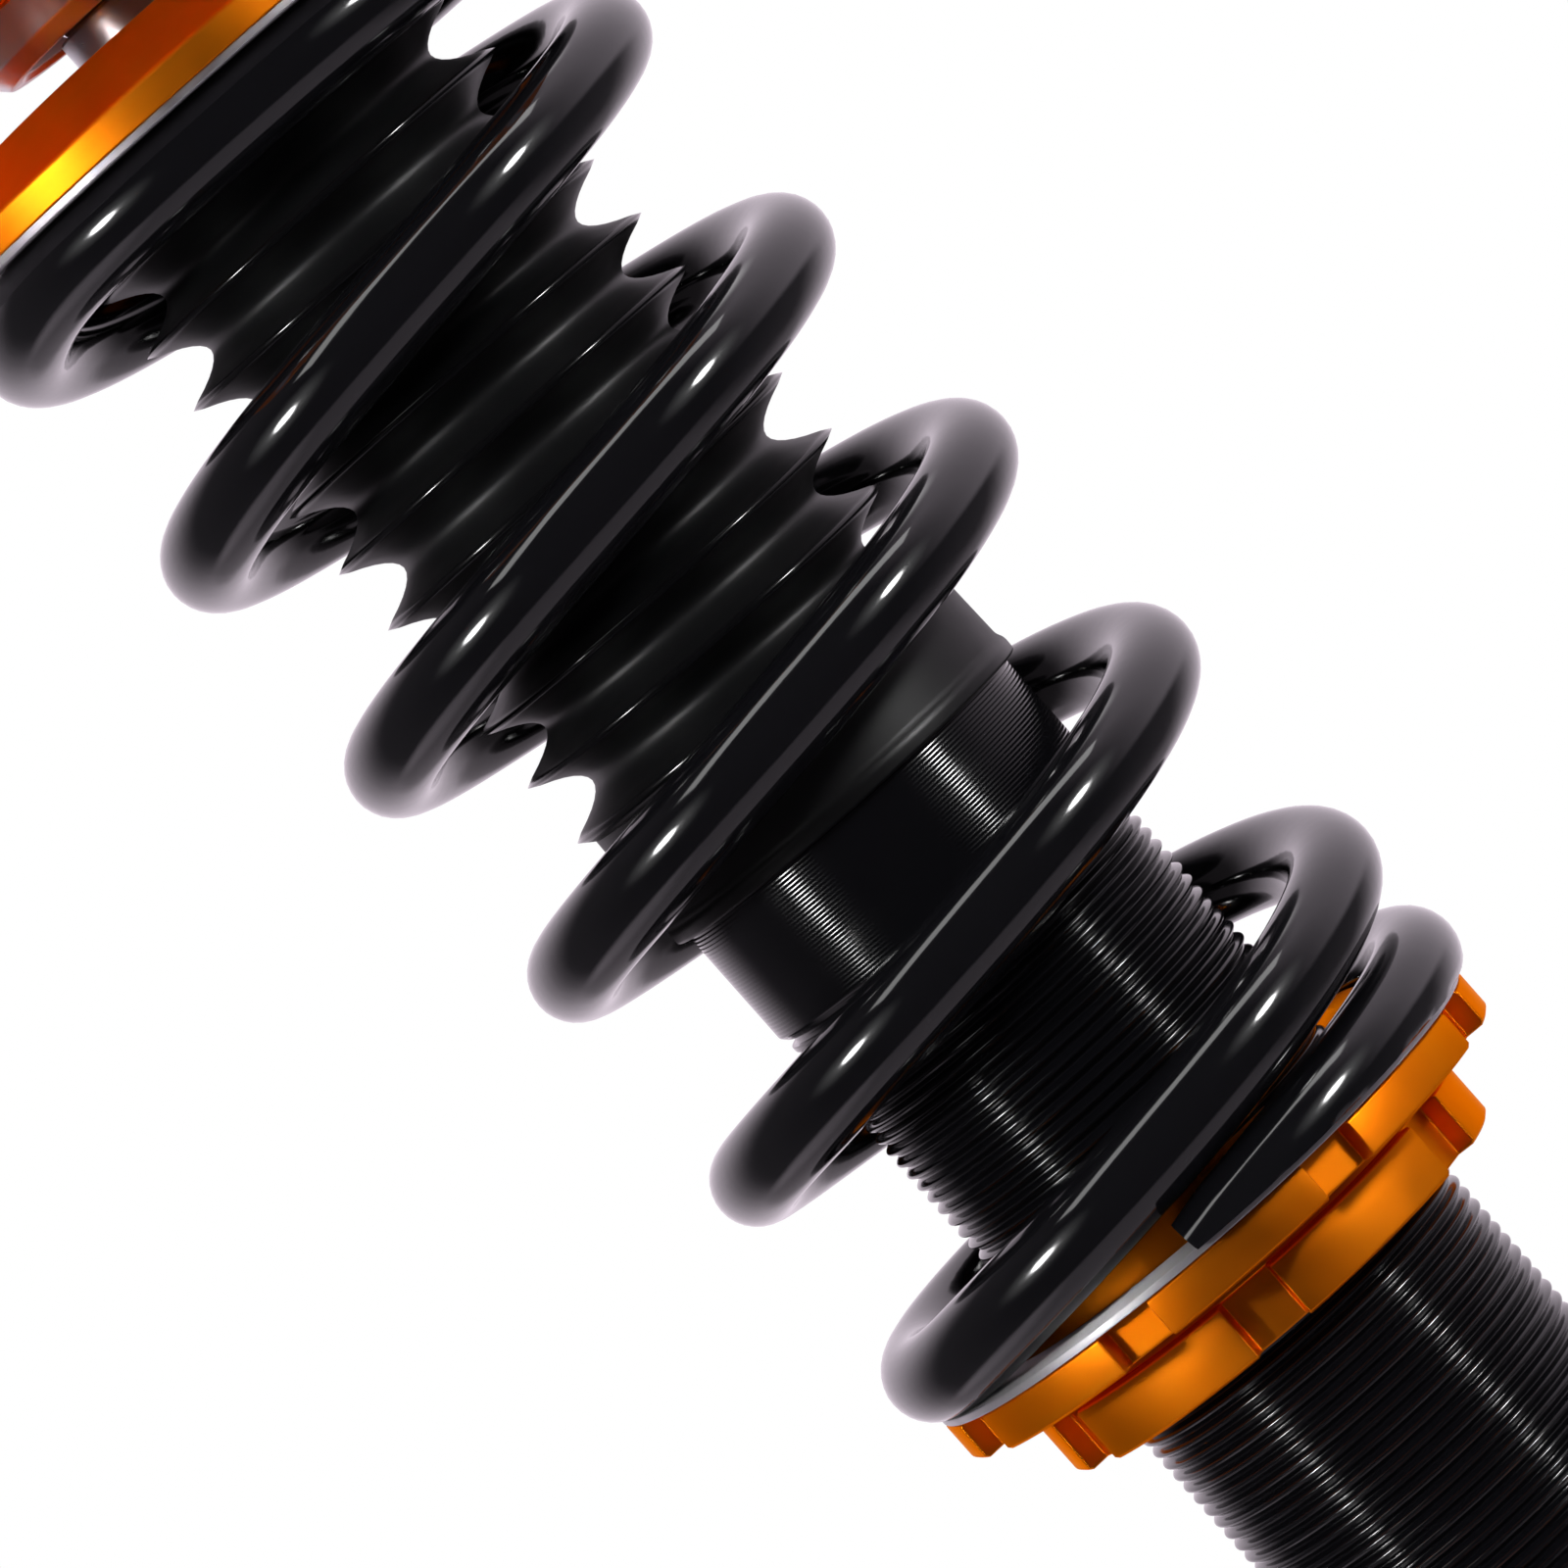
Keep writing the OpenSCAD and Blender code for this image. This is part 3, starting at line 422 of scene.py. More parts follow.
satin_turned, tree, shader = new_finish("satin_black_turned_steel", "#08080A", 0.14, IOR=1.5,
                                        Specular_IOR_Level=0.32)
phase = add(tree, "Math", {"operation": "MULTIPLY"},
            {0: along_profile(tree), 1: 2 * math.pi / (FEED_MM * MM)}, "Value")
dent(tree, shader, add(tree, "Math", {"operation": "SINE"}, {0: phase}, "Value"), 0.016)
brush_round(tree, shader, 0.4)
wander(tree, shader, 4.0, 3.0, 0.12, 0.17)
print("made", satin_turned.name)


# %% [markdown]
# ## Satin black coat (bracket)
# The bracket is pressed and welded steel in a dipped black coat, thicker than on the tube, so it
# hides tool marks and shows a soft orange peel.

# %% Satin black coat
satin_coat, tree, shader = new_finish("satin_black_dip_coat", "#0F0F11", 0.34, IOR=1.5)
dent(tree, shader, noise(tree, 1.8, 3.0), 0.03)
wander(tree, shader, 12.0, 4.0, 0.28, 0.42)
print("made", satin_coat.name)


# %% [markdown]
# ## Orange anodised aluminium
# Anodising grows a clear oxide on the metal and dye fills its pores, so the colour belongs to the
# reflection itself, as in a metallic shader: yellow under a lamp and brown where the room is dark. The
# specular tint keeps its grazing edges orange. Rings are blasted to a satin after turning, and on the
# perch the hub inside the spring is masked from it.

# %% Orange anodised aluminium
HUB_ENDS, FLANGE_STARTS = 36 * MM, 38 * MM


def orange_anodised(name, hub_rough, rough, brushed):
    material, tree, shader = new_finish(name, "#F2820F", rough, 1.0, Specular_Tint=linear("#FFCB59"))
    dent(tree, shader, lathe_marks(tree, 0.25), 0.003)
    patchy(tree, shader, 5.0,
           fade(tree, axis_distance(tree), HUB_ENDS, FLANGE_STARTS, hub_rough, rough))
    two_tone(tree, shader, 18.0, 2.0, "#EF7C0B", "#F48814")
    brush_round(tree, shader, brushed)
    return material


orange = orange_anodised("orange_anodised_turned_aluminium", 0.44, 0.44, 0.2)
orange_flange = orange_anodised("orange_anodised_turned_and_blasted_aluminium", 0.36, 0.45, 0.35)
orange_blasted = orange_anodised("orange_anodised_blasted_aluminium", 0.43, 0.43, 0.25)
print("made", orange.name, orange_flange.name, orange_blasted.name)


# %% [markdown]
# ## Bright metals
# The plain metals differ in colour, in how rough the process leaves them and in the size of their
# marks. Turned aluminium and steel carry lathe rings. Zinc plating has a fine crystal bloom, ground
# chrome almost nothing, and sintered steel open pores.

# %% Bright metals
def turned_metal(name, colour, rough, feed_mm, depth_mm):
    material, tree, shader = new_finish(name, colour, rough, 1.0)
    dent(tree, shader, lathe_marks(tree, feed_mm), depth_mm)
    brush_round(tree, shader, 0.7)
    wander(tree, shader, 3.0, 4.0, rough * 0.85, rough * 1.2)
    return material


def grained_metal(name, colour, rough, grain_mm, depth_mm):
    material, tree, shader = new_finish(name, colour, rough, 1.0)
    dent(tree, shader, noise(tree, grain_mm, 4.0), depth_mm)
    wander(tree, shader, grain_mm * 4, 4.0, rough * 0.8, rough * 1.25)
    return material


turned_aluminium = turned_metal("turned_aluminium", "#DEDFE0", 0.36, 0.2, 0.003)
turned_steel = turned_metal("turned_steel", "#B4B6BA", 0.32, 0.2, 0.003)
polished_washer = turned_metal("polished_steel_washer", "#CFCED0", 0.55, 0.15, 0.001)
bronze = turned_metal("turned_bronze", "#B4894E", 0.3, 0.2, 0.003)
zinc = grained_metal("bright_zinc_plating", "#C6CAD1", 0.3, 0.4, 0.004)
chrome = grained_metal("ground_hard_chrome", "#E4E6EA", 0.07, 1.5, 0.0006)
spring_steel = grained_metal("bare_spring_steel", "#8D9095", 0.32, 0.8, 0.004)
sintered = grained_metal("sintered_steel", "#85878A", 0.5, 0.25, 0.03)
print("made 8 bright metals")


# %% [markdown]
# ## Black oxide, foam and band
# Black oxide is a conversion layer, dark and a little metallic. The bump stop is foamed polyurethane
# with cells of about 0.5 mm. The piston's band is PTFE filled with bronze powder, a dull brown.

# %% Black oxide, foam and band
CELL_MM = 0.5

black_oxide, tree, shader = new_finish("black_oxide_steel", "#1D1D1F", 0.38, 0.7)
dent(tree, shader, noise(tree, 0.5, 4.0), 0.008)
wander(tree, shader, 3.0, 3.0, 0.32, 0.46)

foam, tree, shader = new_finish("foamed_polyurethane", "#DCD3A0", 0.85)
dent(tree, shader, add(tree, "TexVoronoi", {}, {"Scale": 1 / (CELL_MM * MM), "Vector": place(tree)},
                       "Distance"), 0.12)
two_tone(tree, shader, 8.0, 3.0, "#D5CB93", "#E2DAAB")

filled_ptfe, tree, shader = new_finish("bronze_filled_ptfe", "#4A4136", 0.5)
dent(tree, shader, noise(tree, 0.3, 4.0), 0.01)
two_tone(tree, shader, 0.4, 3.0, "#40382E", "#5A4E3D")
print("made", black_oxide.name, foam.name, filled_ptfe.name)


# %% [markdown]
# ## Meshes from rows and columns
# Almost every part of a strut is round, so most meshes are grids: each row is one level of a profile
# and each column one angle round the axis. A radius may be a number, or a function of the angles for
# hexagons, knurls and threads. A lathe modifier could only do the plain ones.

# %% Grid meshes
def new_object(name, grids=()):
    vertices, faces = [], []
    for points, quads in grids:
        faces += (quads + len(vertices)).tolist()
        vertices += points.tolist()
    mesh = bpy.data.meshes.new(name)
    mesh.from_pydata(vertices, [], faces)
    made = bpy.data.objects.new(name, mesh)
    bpy.context.scene.collection.objects.link(made)
    return made


def grid(points, closed=True):
    """Faces between neighbours. A closed profile's last row joins its first."""
    rows, columns = points.shape[:2]
    row = np.arange(rows if closed else rows - 1)[:, None]
    column = np.arange(columns)[None, :]
    above, beside = (row + 1) % rows, (column + 1) % columns
    faces = np.stack([row * columns + column, row * columns + beside,
                      above * columns + beside, above * columns + column], -1)
    return points.reshape(-1, 3) * MM, faces.reshape(-1, 4)


def circle(columns=128):
    return np.arange(columns) * 2 * math.pi / columns


def revolve(rows, angles, centre=(0, 0)):
    points = np.empty((len(rows), len(angles), 3))
    for i, (radius, level) in enumerate(rows):
        r = radius(angles) if callable(radius) else radius
        points[i, :, 0] = centre[0] + r * np.cos(angles)
        points[i, :, 1] = centre[1] + r * np.sin(angles)
        points[i, :, 2] = level
    return points


def turned_part(name, profile, columns=128, closed=True):
    return new_object(name, [grid(revolve(profile, circle(columns)), closed)])


print("a round part has", len(circle()), "columns")


# %% [markdown]
# ## Rounded corners
# No machined edge is perfectly sharp, and the bright line that each one catches is what makes metal
# look real. A profile is typed as corners with a fillet size, and each corner becomes a short curve.

# %% Rounded corners
def rounded(corners, steps=3):
    line = []
    for i, corner in enumerate(corners):
        here = np.array(corner[:2], float)
        cut = corner[2] if len(corner) > 2 else 0
        if not cut:
            line.append(tuple(here))
            continue
        ends = []
        for other in (corners[i - 1], corners[(i + 1) % len(corners)]):
            reach = np.array(other[:2], float) - here
            length = np.linalg.norm(reach)
            ends.append(here + reach / length * min(cut, length * 0.45))
        for t in np.linspace(0, 1, steps + 1):
            line.append(tuple((1 - t) ** 2 * ends[0] + 2 * t * (1 - t) * here + t ** 2 * ends[1]))
    return line


print("a round corner has", len(rounded([(0, 0), (4, 0, 1), (4, 4)])) - 2, "points")


# %% [markdown]
# ## From mesh to piece
# A piece gets its finish, smooth shading with weighted normals that keep flats flat beside their
# fillets and the body that it rides on, and the CAD parts that it stands for are hidden.

# %% From mesh to piece
def piece(made, material, body, slot, *nodes, sharp=40, weighted=True):
    made.data.materials.append(material)
    work = bmesh.new()
    work.from_mesh(made.data)
    bmesh.ops.remove_doubles(work, verts=work.verts, dist=1e-6)
    bmesh.ops.dissolve_degenerate(work, edges=work.edges, dist=1e-7)
    bmesh.ops.recalc_face_normals(work, faces=work.faces)
    work.to_mesh(made.data)
    work.free()
    made.data.shade_smooth()
    made.data.set_sharp_from_angle(angle=math.radians(sharp))
    if weighted:
        made.modifiers.new("flat_faces", "WEIGHTED_NORMAL").keep_sharp = True
    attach(made, body)
    if nodes:
        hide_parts(*nodes)
    print(made.name, "rides", body, "with", len(made.data.polygons), "faces")


print("an edge is sharp above 40 degrees, unless told otherwise")


# %% [markdown]
# ## Coil spring
# The spring is a round wire wound on a helix. Its end turns close up and are ground flat, so the
# wire thins to a blade at each tip. A curve with a bevel could draw the helix but not the grinding,
# so the wire's rings are placed one by one. First comes the height of the wire's centre: a closed
# turn at each end, a short lead into the rise, and an even pitch between.

# %% Wire path
WIRE, COIL = 6.0, 41.25
TURNS, CLOSED, LEAD = 6.7, 0.78, 0.08
TIP_LEVEL, CLOSED_LEVEL = -1.7, 5.2
TIP_ANGLE = math.radians(264)

spring_bottom, spring_top = span("coil_spring")
spring_length = spring_top - spring_bottom
active_pitch = (spring_length / 2 - CLOSED_LEVEL) / (TURNS / 2 - CLOSED - LEAD / 2)


def wire_level(turns):
    """Height of the wire's centre over the lower seat, as the CAD spring has it."""
    t = np.minimum(turns, TURNS - turns)
    closing = TIP_LEVEL + (CLOSED_LEVEL - TIP_LEVEL) * (1 - (1 - np.minimum(t, CLOSED) / CLOSED) ** 5)
    x = np.maximum(t - CLOSED, 0)
    rising = active_pitch * np.where(x < LEAD, x * x / (2 * LEAD), x - LEAD / 2)
    lower = closing + rising
    return np.where(turns <= TURNS / 2, lower, spring_length - lower)


print("active pitch", round(float(active_pitch), 2), "mm")


# %% [markdown]
# ## Coil spring: the wire
# Each ring stands square to the wire, and whatever passes a seat is pressed flat onto it, which is
# the ground face. Parts of two bodies that rest on each other are kept a hair apart, so that no pose
# finds them in each other.

# %% Coil spring
CLEAR = 0.02
RINGS_PER_TURN, WIRE_SIDES, TIP_SHARE = 96, 32, 0.93

turns = np.linspace(0, TURNS, int(TURNS * RINGS_PER_TURN) + 1)
around = TIP_ANGLE + 2 * math.pi * turns
centre = np.stack([COIL * np.cos(around), COIL * np.sin(around), wire_level(turns)], -1)
along = np.gradient(centre, axis=0)
along /= np.linalg.norm(along, axis=1)[:, None]
outward = np.stack([np.cos(around), np.sin(around), np.zeros_like(around)], -1)
upward = np.cross(outward, along)
upward *= np.sign(upward[:, 2])[:, None]
size = np.full(len(turns), WIRE)
size[0] = size[-1] = 0
size[1] = size[-2] = WIRE * TIP_SHARE
centre[1], centre[-2] = centre[0], centre[-1]
sides = circle(WIRE_SIDES)
wire = (centre[:, None] + size[:, None, None]
        * (np.cos(sides)[None, :, None] * outward[:, None]
           + np.sin(sides)[None, :, None] * upward[:, None]))
wire[..., 2] = np.clip(wire[..., 2], 0, spring_length - CLEAR) + spring_bottom
spring = new_object("coil_spring_wire", [grid(wire, closed=False)])
piece(spring, powder_gloss, "spring_carrier", "black_gloss", "coil_spring", sharp=50, weighted=False)
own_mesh(spring)


# %% [markdown]
# ## Dust boot
# The boot is one rubber moulding: a smooth cuff that grips the tube and a bellows of eleven sharp
# folds. It closes up as the strut is pushed in. The cuff keeps its length, so the two are made as two
# pieces. A power curve draws both the round valley and the sharp tip, and the folds sway a little, as
# soft ones do.

# %% Boot bellows
FOLDS, STEPS = 11, 14
FOLD_TIP, VALLEY, BOOT_WALL = 30.4, 22.9, 1.2
CUFF_LENGTH, CUFF_RADIUS = 17.0, 27.8
SWAY, SWAY_STARTS = 0.35, 8.0

boot_bottom, boot_top = span("dust_boot")
cuff_top = boot_bottom + CUFF_LENGTH
hub_bottom = span("upper_spring_seat")[0]
first_fold, last_fold = cuff_top + 1.3, hub_bottom - 6
fold_pitch = (last_fold - first_fold) / (FOLDS - 1)

fold_line = [(CUFF_RADIUS, cuff_top)]
for i in range(FOLDS - 1):
    for u in np.arange(STEPS) / STEPS:
        reach = abs(2 * u - 1) ** 1.9
        fold_line.append((VALLEY + (FOLD_TIP - VALLEY) * reach, first_fold + (i + u) * fold_pitch))
fold_line += [(FOLD_TIP, last_fold), (27.5, last_fold + fold_pitch * 0.16),
              (VALLEY + 3, last_fold + fold_pitch * 0.4), (VALLEY + 3, boot_top)]
outer = np.array(fold_line)
soft = outer.copy()
soft[1:-1, 0] = outer[1:-1, 0] * 0.7 + 0.15 * (outer[:-2, 0] + outer[2:, 0])
inner = soft[::-1] - np.array([BOOT_WALL, 0])
columns = circle(160)
skin = revolve([tuple(p) for p in np.concatenate([soft, inner])], columns)
level = skin[..., 2]
free = np.clip((level - cuff_top) / SWAY_STARTS, 0, 1) * np.clip((boot_top - level) / SWAY_STARTS, 0, 1)
skin[..., 2] += free * SWAY * np.sin(columns[None, :] + level * 0.11)
bellows = new_object("boot_bellows", [grid(skin)])
piece(bellows, rubber, "damper", "rubber", "dust_boot", sharp=180, weighted=False)
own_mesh(bellows)


# %% [markdown]
# ## Boot cuff
# The cuff is a plain sleeve with a thicker lip at its mouth, and its top meets the bellows.

# %% Boot cuff
TUBE_RADIUS = 27.0
cuff = rounded([
    (TUBE_RADIUS + 0.05, boot_bottom, 0.2), (TUBE_RADIUS + 1.7, boot_bottom, 0.5),
    (TUBE_RADIUS + 1.75, boot_bottom + 2.0, 0.6), (TUBE_RADIUS + 1.2, boot_bottom + 3.0, 0.5),
    (CUFF_RADIUS, cuff_top), (CUFF_RADIUS - BOOT_WALL, cuff_top),
    (TUBE_RADIUS + 0.05, cuff_top - 4, 0.5)], 4)
piece(turned_part("boot_cuff", cuff, 160), rubber, "damper", "rubber", "dust_boot", sharp=60)


# %% [markdown]
# ## Threads
# Real geometry is what gives a thread its saw-edged outline. The radius is a wave of the level minus
# the share of the turn, which makes a right-hand screw, and it fades out over one turn at each end.

# %% Thread function
def thread(outer_radius, pitch, depth, level, bottom, top):
    """The radius round a screw at one level, from its outside radius down to its root."""
    def radius(angles):
        phase = 2 * math.pi * level / pitch - angles
        wave = (0.5 - 0.5 * np.cos(phase)) ** 1.15
        here = min(1.0, max(0.0, (level - bottom) / pitch), max(0.0, (top - level) / pitch))
        return outer_radius - depth * wave * here
    return radius


def screw_rows(outer_radius, pitch, depth, bottom, top, steps=14):
    levels = np.linspace(bottom, top, int((top - bottom) / pitch * steps) + 1)
    return [(thread(outer_radius, pitch, depth, z, bottom, top), z) for z in levels]


print("3 turns of a 2 mm thread take", len(screw_rows(10, 2.0, 1.0, 0, 6)), "rows")


# %% [markdown]
# ## Threaded body
# The tube carries an M53 fine thread of 2 mm pitch with rounded crests, nearly up to its mouth. A
# groove lets the threading tool run out below the smooth part, where the boot sits.

# %% Threaded body
THREAD_RADIUS, THREAD_DEPTH, THREAD_PITCH = 26.5, 0.95, 2.0
SMOOTH, RELIEF, RELIEF_DEPTH = 31.5, 1.0, 0.9
BORE, GLAND_BORE, GLAND_LENGTH = 22.0, 24.0, 12.0

tube_bottom, tube_top = span("damper_tube")
thread_top = tube_top - SMOOTH
lower_rows = rounded([(BORE, tube_bottom, 0.3), (THREAD_RADIUS - 1, tube_bottom, 0.3),
                      (THREAD_RADIUS, tube_bottom + 1, 0.2)])
upper_rows = rounded([
    (THREAD_RADIUS, thread_top - RELIEF, 0.15),
    (THREAD_RADIUS - RELIEF_DEPTH, thread_top - RELIEF, 0.2),
    (THREAD_RADIUS - RELIEF_DEPTH, thread_top, 0.2), (TUBE_RADIUS - 0.9, thread_top, 0.2),
    (TUBE_RADIUS, thread_top + 0.9, 0.3),
    (TUBE_RADIUS, thread_top + 1.5), (TUBE_RADIUS, tube_top - 1, 0.3), (TUBE_RADIUS - 1, tube_top, 0.3),
    (GLAND_BORE, tube_top, 0.2), (GLAND_BORE, tube_top - GLAND_LENGTH),
    (BORE, tube_top - GLAND_LENGTH, 0.2), (BORE, tube_bottom + 1)])
body_rows = (lower_rows + screw_rows(THREAD_RADIUS, THREAD_PITCH, THREAD_DEPTH,
                                     tube_bottom + 1.2, thread_top - RELIEF - 0.2) + upper_rows)
piece(turned_part("threaded_body", body_rows, 144), satin_turned, "damper", "black_satin",
      "damper_tube", sharp=60, weighted=False)


# %% [markdown]
# ## Notched rings
# The spring perch and the lock rings are turned from bar and then milled with notches for a hook
# spanner. Booleans would cut them, but leave uneven faces that shade badly. Here each notch is a few
# columns whose radius stops at its flat floor, and a bevel softens the milled edges.

# %% Notched ring helper
def notched_columns(count, first_degrees, radius, width, depth):
    """Angles round a ring, and for each the distance at which a notch's floor cuts it."""
    columns = []
    half = math.degrees(math.asin(width / 2 / radius))
    land = 360 / count - 2 * half
    steps = max(2, int(land / 2.5))
    for i in range(count):
        middle = first_degrees + i * 360 / count
        columns.append((middle - half, math.inf))
        for turn in np.linspace(-half + 0.3, half - 0.3, 5):
            columns.append((middle + turn, (radius - depth) / math.cos(math.radians(turn))))
        columns += [(middle + half + j * land / steps, math.inf) for j in range(steps)]
    degrees, floors = np.array(columns).T
    return np.radians(degrees), floors


def notched_ring(name, profile, count, first_degrees, radius, width, depth):
    angles, floors = notched_columns(count, first_degrees, radius, width, depth)
    points = revolve(profile, angles)
    flat = np.linalg.norm(points[..., :2], axis=-1)
    shrink = np.minimum(1, floors[None, :] / flat)
    points[..., :2] *= shrink[..., None]
    return new_object(name, [grid(points)])


def soften(made, width_mm):
    work = bmesh.new()
    work.from_mesh(made.data)
    bmesh.ops.remove_doubles(work, verts=work.verts, dist=1e-6)
    bmesh.ops.recalc_face_normals(work, faces=work.faces)
    edges = [e for e in work.edges if len(e.link_faces) == 2
             and e.calc_face_angle(0) > math.radians(50)]
    bmesh.ops.bevel(work, geom=edges, offset=width_mm * MM, segments=2, profile=0.5,
                    affect="EDGES", clamp_overlap=True)
    work.to_mesh(made.data)
    work.free()
    return made


print("six notches take", len(notched_columns(6, 0, 35, 8.5, 3)[0]), "columns")


# %% [markdown]
# ## Spring perch
# A flange with eight notches carries the spring. A hub above it centres the spring and a short neck
# below it meets the lock ring.

# %% Spring perch
HUB, NECK, FIT = 34.0, 33.0, 26.55
PERCH_RADIUS, PERCH_FLANGE, CHAMFER = 44.0, 5.7, 0.5
NOTCH_DEPTH = 3.0

perch_low, perch_high = span("spring_perch")
washer_low = span("lower_spring_washer")[0]
flange_low = washer_low - PERCH_FLANGE
perch_profile = rounded([
    (FIT, perch_low), (NECK, perch_low, 0.2), (NECK, flange_low, 0.2),
    (PERCH_RADIUS - CHAMFER, flange_low), (PERCH_RADIUS, flange_low + CHAMFER),
    (PERCH_RADIUS, washer_low - CHAMFER), (PERCH_RADIUS - CHAMFER, washer_low),
    (HUB, washer_low, 0.2), (HUB, perch_high, 0.8), (29.0, perch_high, 0.4), (FIT, perch_high - 1.5)])
perch = notched_ring("spring_perch_ring", perch_profile, 8, 291, PERCH_RADIUS, 8.4, NOTCH_DEPTH)
piece(soften(perch, 0.22), orange_flange, "perch", "orange_anodised", "spring_perch", sharp=50)


# %% [markdown]
# ## Lock rings
# Two rings with six notches lock the perch and the bracket on the same thread.

# %% Lock rings
LOCK_RADIUS = 35.1


def lock_ring(node, name, body, first_degrees):
    low, high = span(node)
    profile = rounded([
        (FIT, low + 0.8), (FIT + 0.8, low), (LOCK_RADIUS - CHAMFER, low), (LOCK_RADIUS, low + CHAMFER),
        (LOCK_RADIUS, high - CHAMFER), (LOCK_RADIUS - CHAMFER, high), (FIT + 0.8, high),
        (FIT, high - 0.8)])
    ring = notched_ring(name, profile, 6, first_degrees, LOCK_RADIUS, 8.5, NOTCH_DEPTH)
    piece(soften(ring, 0.25), orange_blasted, body, "orange_anodised", node, sharp=50)


lock_ring("perch_lock_ring", "perch_lock", "perch_lock", 264)
lock_ring("bracket_lock_ring", "bracket_lock", "bracket_lock", 282)


# %% [markdown]
# ## Spring washers
# Two thin polished washers let the spring's ends turn on their seats. They show as a bright line.

# %% Spring washers
for node, body, edge in (("upper_spring_washer", "rod", 49.0),
                         ("lower_spring_washer", "spring_carrier", PERCH_RADIUS)):
    low, high = span(node)
    line = rounded([(HUB + 0.4, low, 0.2), (edge, low, 0.25), (edge, high, 0.25), (HUB + 0.4, high, 0.2)])
    piece(turned_part(node + "_polished", line), polished_washer, body, "polished_washer", node)


# %% [markdown]
# ## Upper spring seat
# The seat is a turned hat: a flat top, a shallow cone, a straight rim and a thin hub inside the
# spring. Its small fillets catch fine lines of light.

# %% Upper spring seat
SEAT_RADIUS, CONE_TOP, SEAT_BORE, ROD_HOLE = 49.5, 32.0, 31.0, 7.05
seat_low, seat_high = span("upper_spring_seat")
rim_low = span("upper_spring_washer")[1]
rim_high = seat_high - 7.0
web_low = seat_high - 8.0
seat_profile = rounded([
    (ROD_HOLE, web_low), (SEAT_BORE, web_low, 0.4), (SEAT_BORE, seat_low, 0.3), (HUB, seat_low, 0.4),
    (HUB, rim_low, 0.2), (SEAT_RADIUS, rim_low, 0.25), (SEAT_RADIUS, rim_high - CHAMFER, 0.3),
    (SEAT_RADIUS - CHAMFER, rim_high, 0.3), (CONE_TOP, seat_high, 0.8), (ROD_HOLE, seat_high, 0.2)])
piece(turned_part("upper_seat_hat", seat_profile, 160), orange, "rod", "orange_anodised",
      "upper_spring_seat", sharp=60)


# %% [markdown]
# ## Piston rod
# The rod is ground and hard chromed. It steps down at the top, where an M14 thread takes the nut and
# a six-sided hole holds the rod still for it.

# %% Piston rod
def hexagon(flats):
    def radius(angles):
        return flats / 2 / np.cos(np.mod(angles, math.pi / 3) - math.pi / 6)
    return radius


ROD, ROD_TOP, ROD_TIP = 11.0, 7.0, 6.0
rod_low, rod_high = span("piston_rod")
nut_low = span("rod_nut")[0]
shims_level = span("rebound_stop")[0]
key = hexagon(6.0)
rod_rows = [(0.0, rod_low)]
rod_rows += rounded([(ROD_TIP - 0.8, rod_low), (ROD_TIP, rod_low + 0.8), (ROD_TIP, shims_level),
                     (ROD, shims_level, 0.4), (ROD, web_low, 0.4), (ROD_TOP, web_low),
                     (ROD_TOP, nut_low - 2)])
rod_rows += screw_rows(ROD_TOP, 1.5, 0.8, nut_low - 2, rod_high - 1, 10)
rod_rows += [(ROD_TOP - 0.4, rod_high - 0.3), (ROD_TOP - 1, rod_high), (4.2, rod_high),
             (key, rod_high - 0.5), (key, rod_high - 5.5), (0.0, rod_high - 6.5)]
rod = turned_part("chromed_piston_rod", rod_rows, 96, closed=False)
piece(rod, chrome, "rod", "chromed_steel", "piston_rod", sharp=35)


# %% [markdown]
# ## Nuts and washer
# A hexagon nut's corners are turned off at 30 degrees, which draws the curved edges on its flats.
# The radius of each row is the smaller of the hexagon's and the cone's.

# %% Hexagon nuts
def hex_nut(node, name, flats, hole, material, slot):
    low, high = span(node)
    corner = flats / math.sqrt(3)
    side = hexagon(flats)

    def cut(level):
        inset = min(level - low, high - level)
        cone = flats / 2 - 0.3 + inset / math.tan(math.radians(30))
        return lambda angles: np.minimum(side(angles), min(cone, corner))
    levels = np.concatenate([np.linspace(low, low + 1.4, 8), np.linspace(high - 1.4, high, 8)])
    rows = [(hole, low + 0.8), (hole + 0.8, low)] + [(cut(z), z) for z in levels]
    rows += [(hole + 0.8, high), (hole, high - 0.8)]
    piece(turned_part(name, rows, 96), material, "rod", slot, node, sharp=35)


hex_nut("rod_nut", "rod_top_nut", 21.0, ROD_HOLE, zinc, "zinc_steel")
hex_nut("piston_nut", "piston_lock_nut", 19.0, 6.05, zinc, "zinc_steel")

for node, outside, material, slot in (("rod_washer", 10.0, zinc, "zinc_steel"),
                                      ("rod_collar", 11.75, turned_steel, "turned_steel")):
    low, high = span(node)
    line = rounded([(ROD_HOLE, low, 0.2), (outside, low, 0.5),
                    (outside, high, 0.5), (ROD_HOLE, high, 0.2)])
    piece(turned_part(node + "_turned", line, 96), material, "rod", slot, node)


# %% [markdown]
# ## Tower studs
# Three M8 studs are pressed into the plate from below. Each has a thin round head flush with the
# plate and a rolled thread above it. The three are one mesh, because they are one part number.

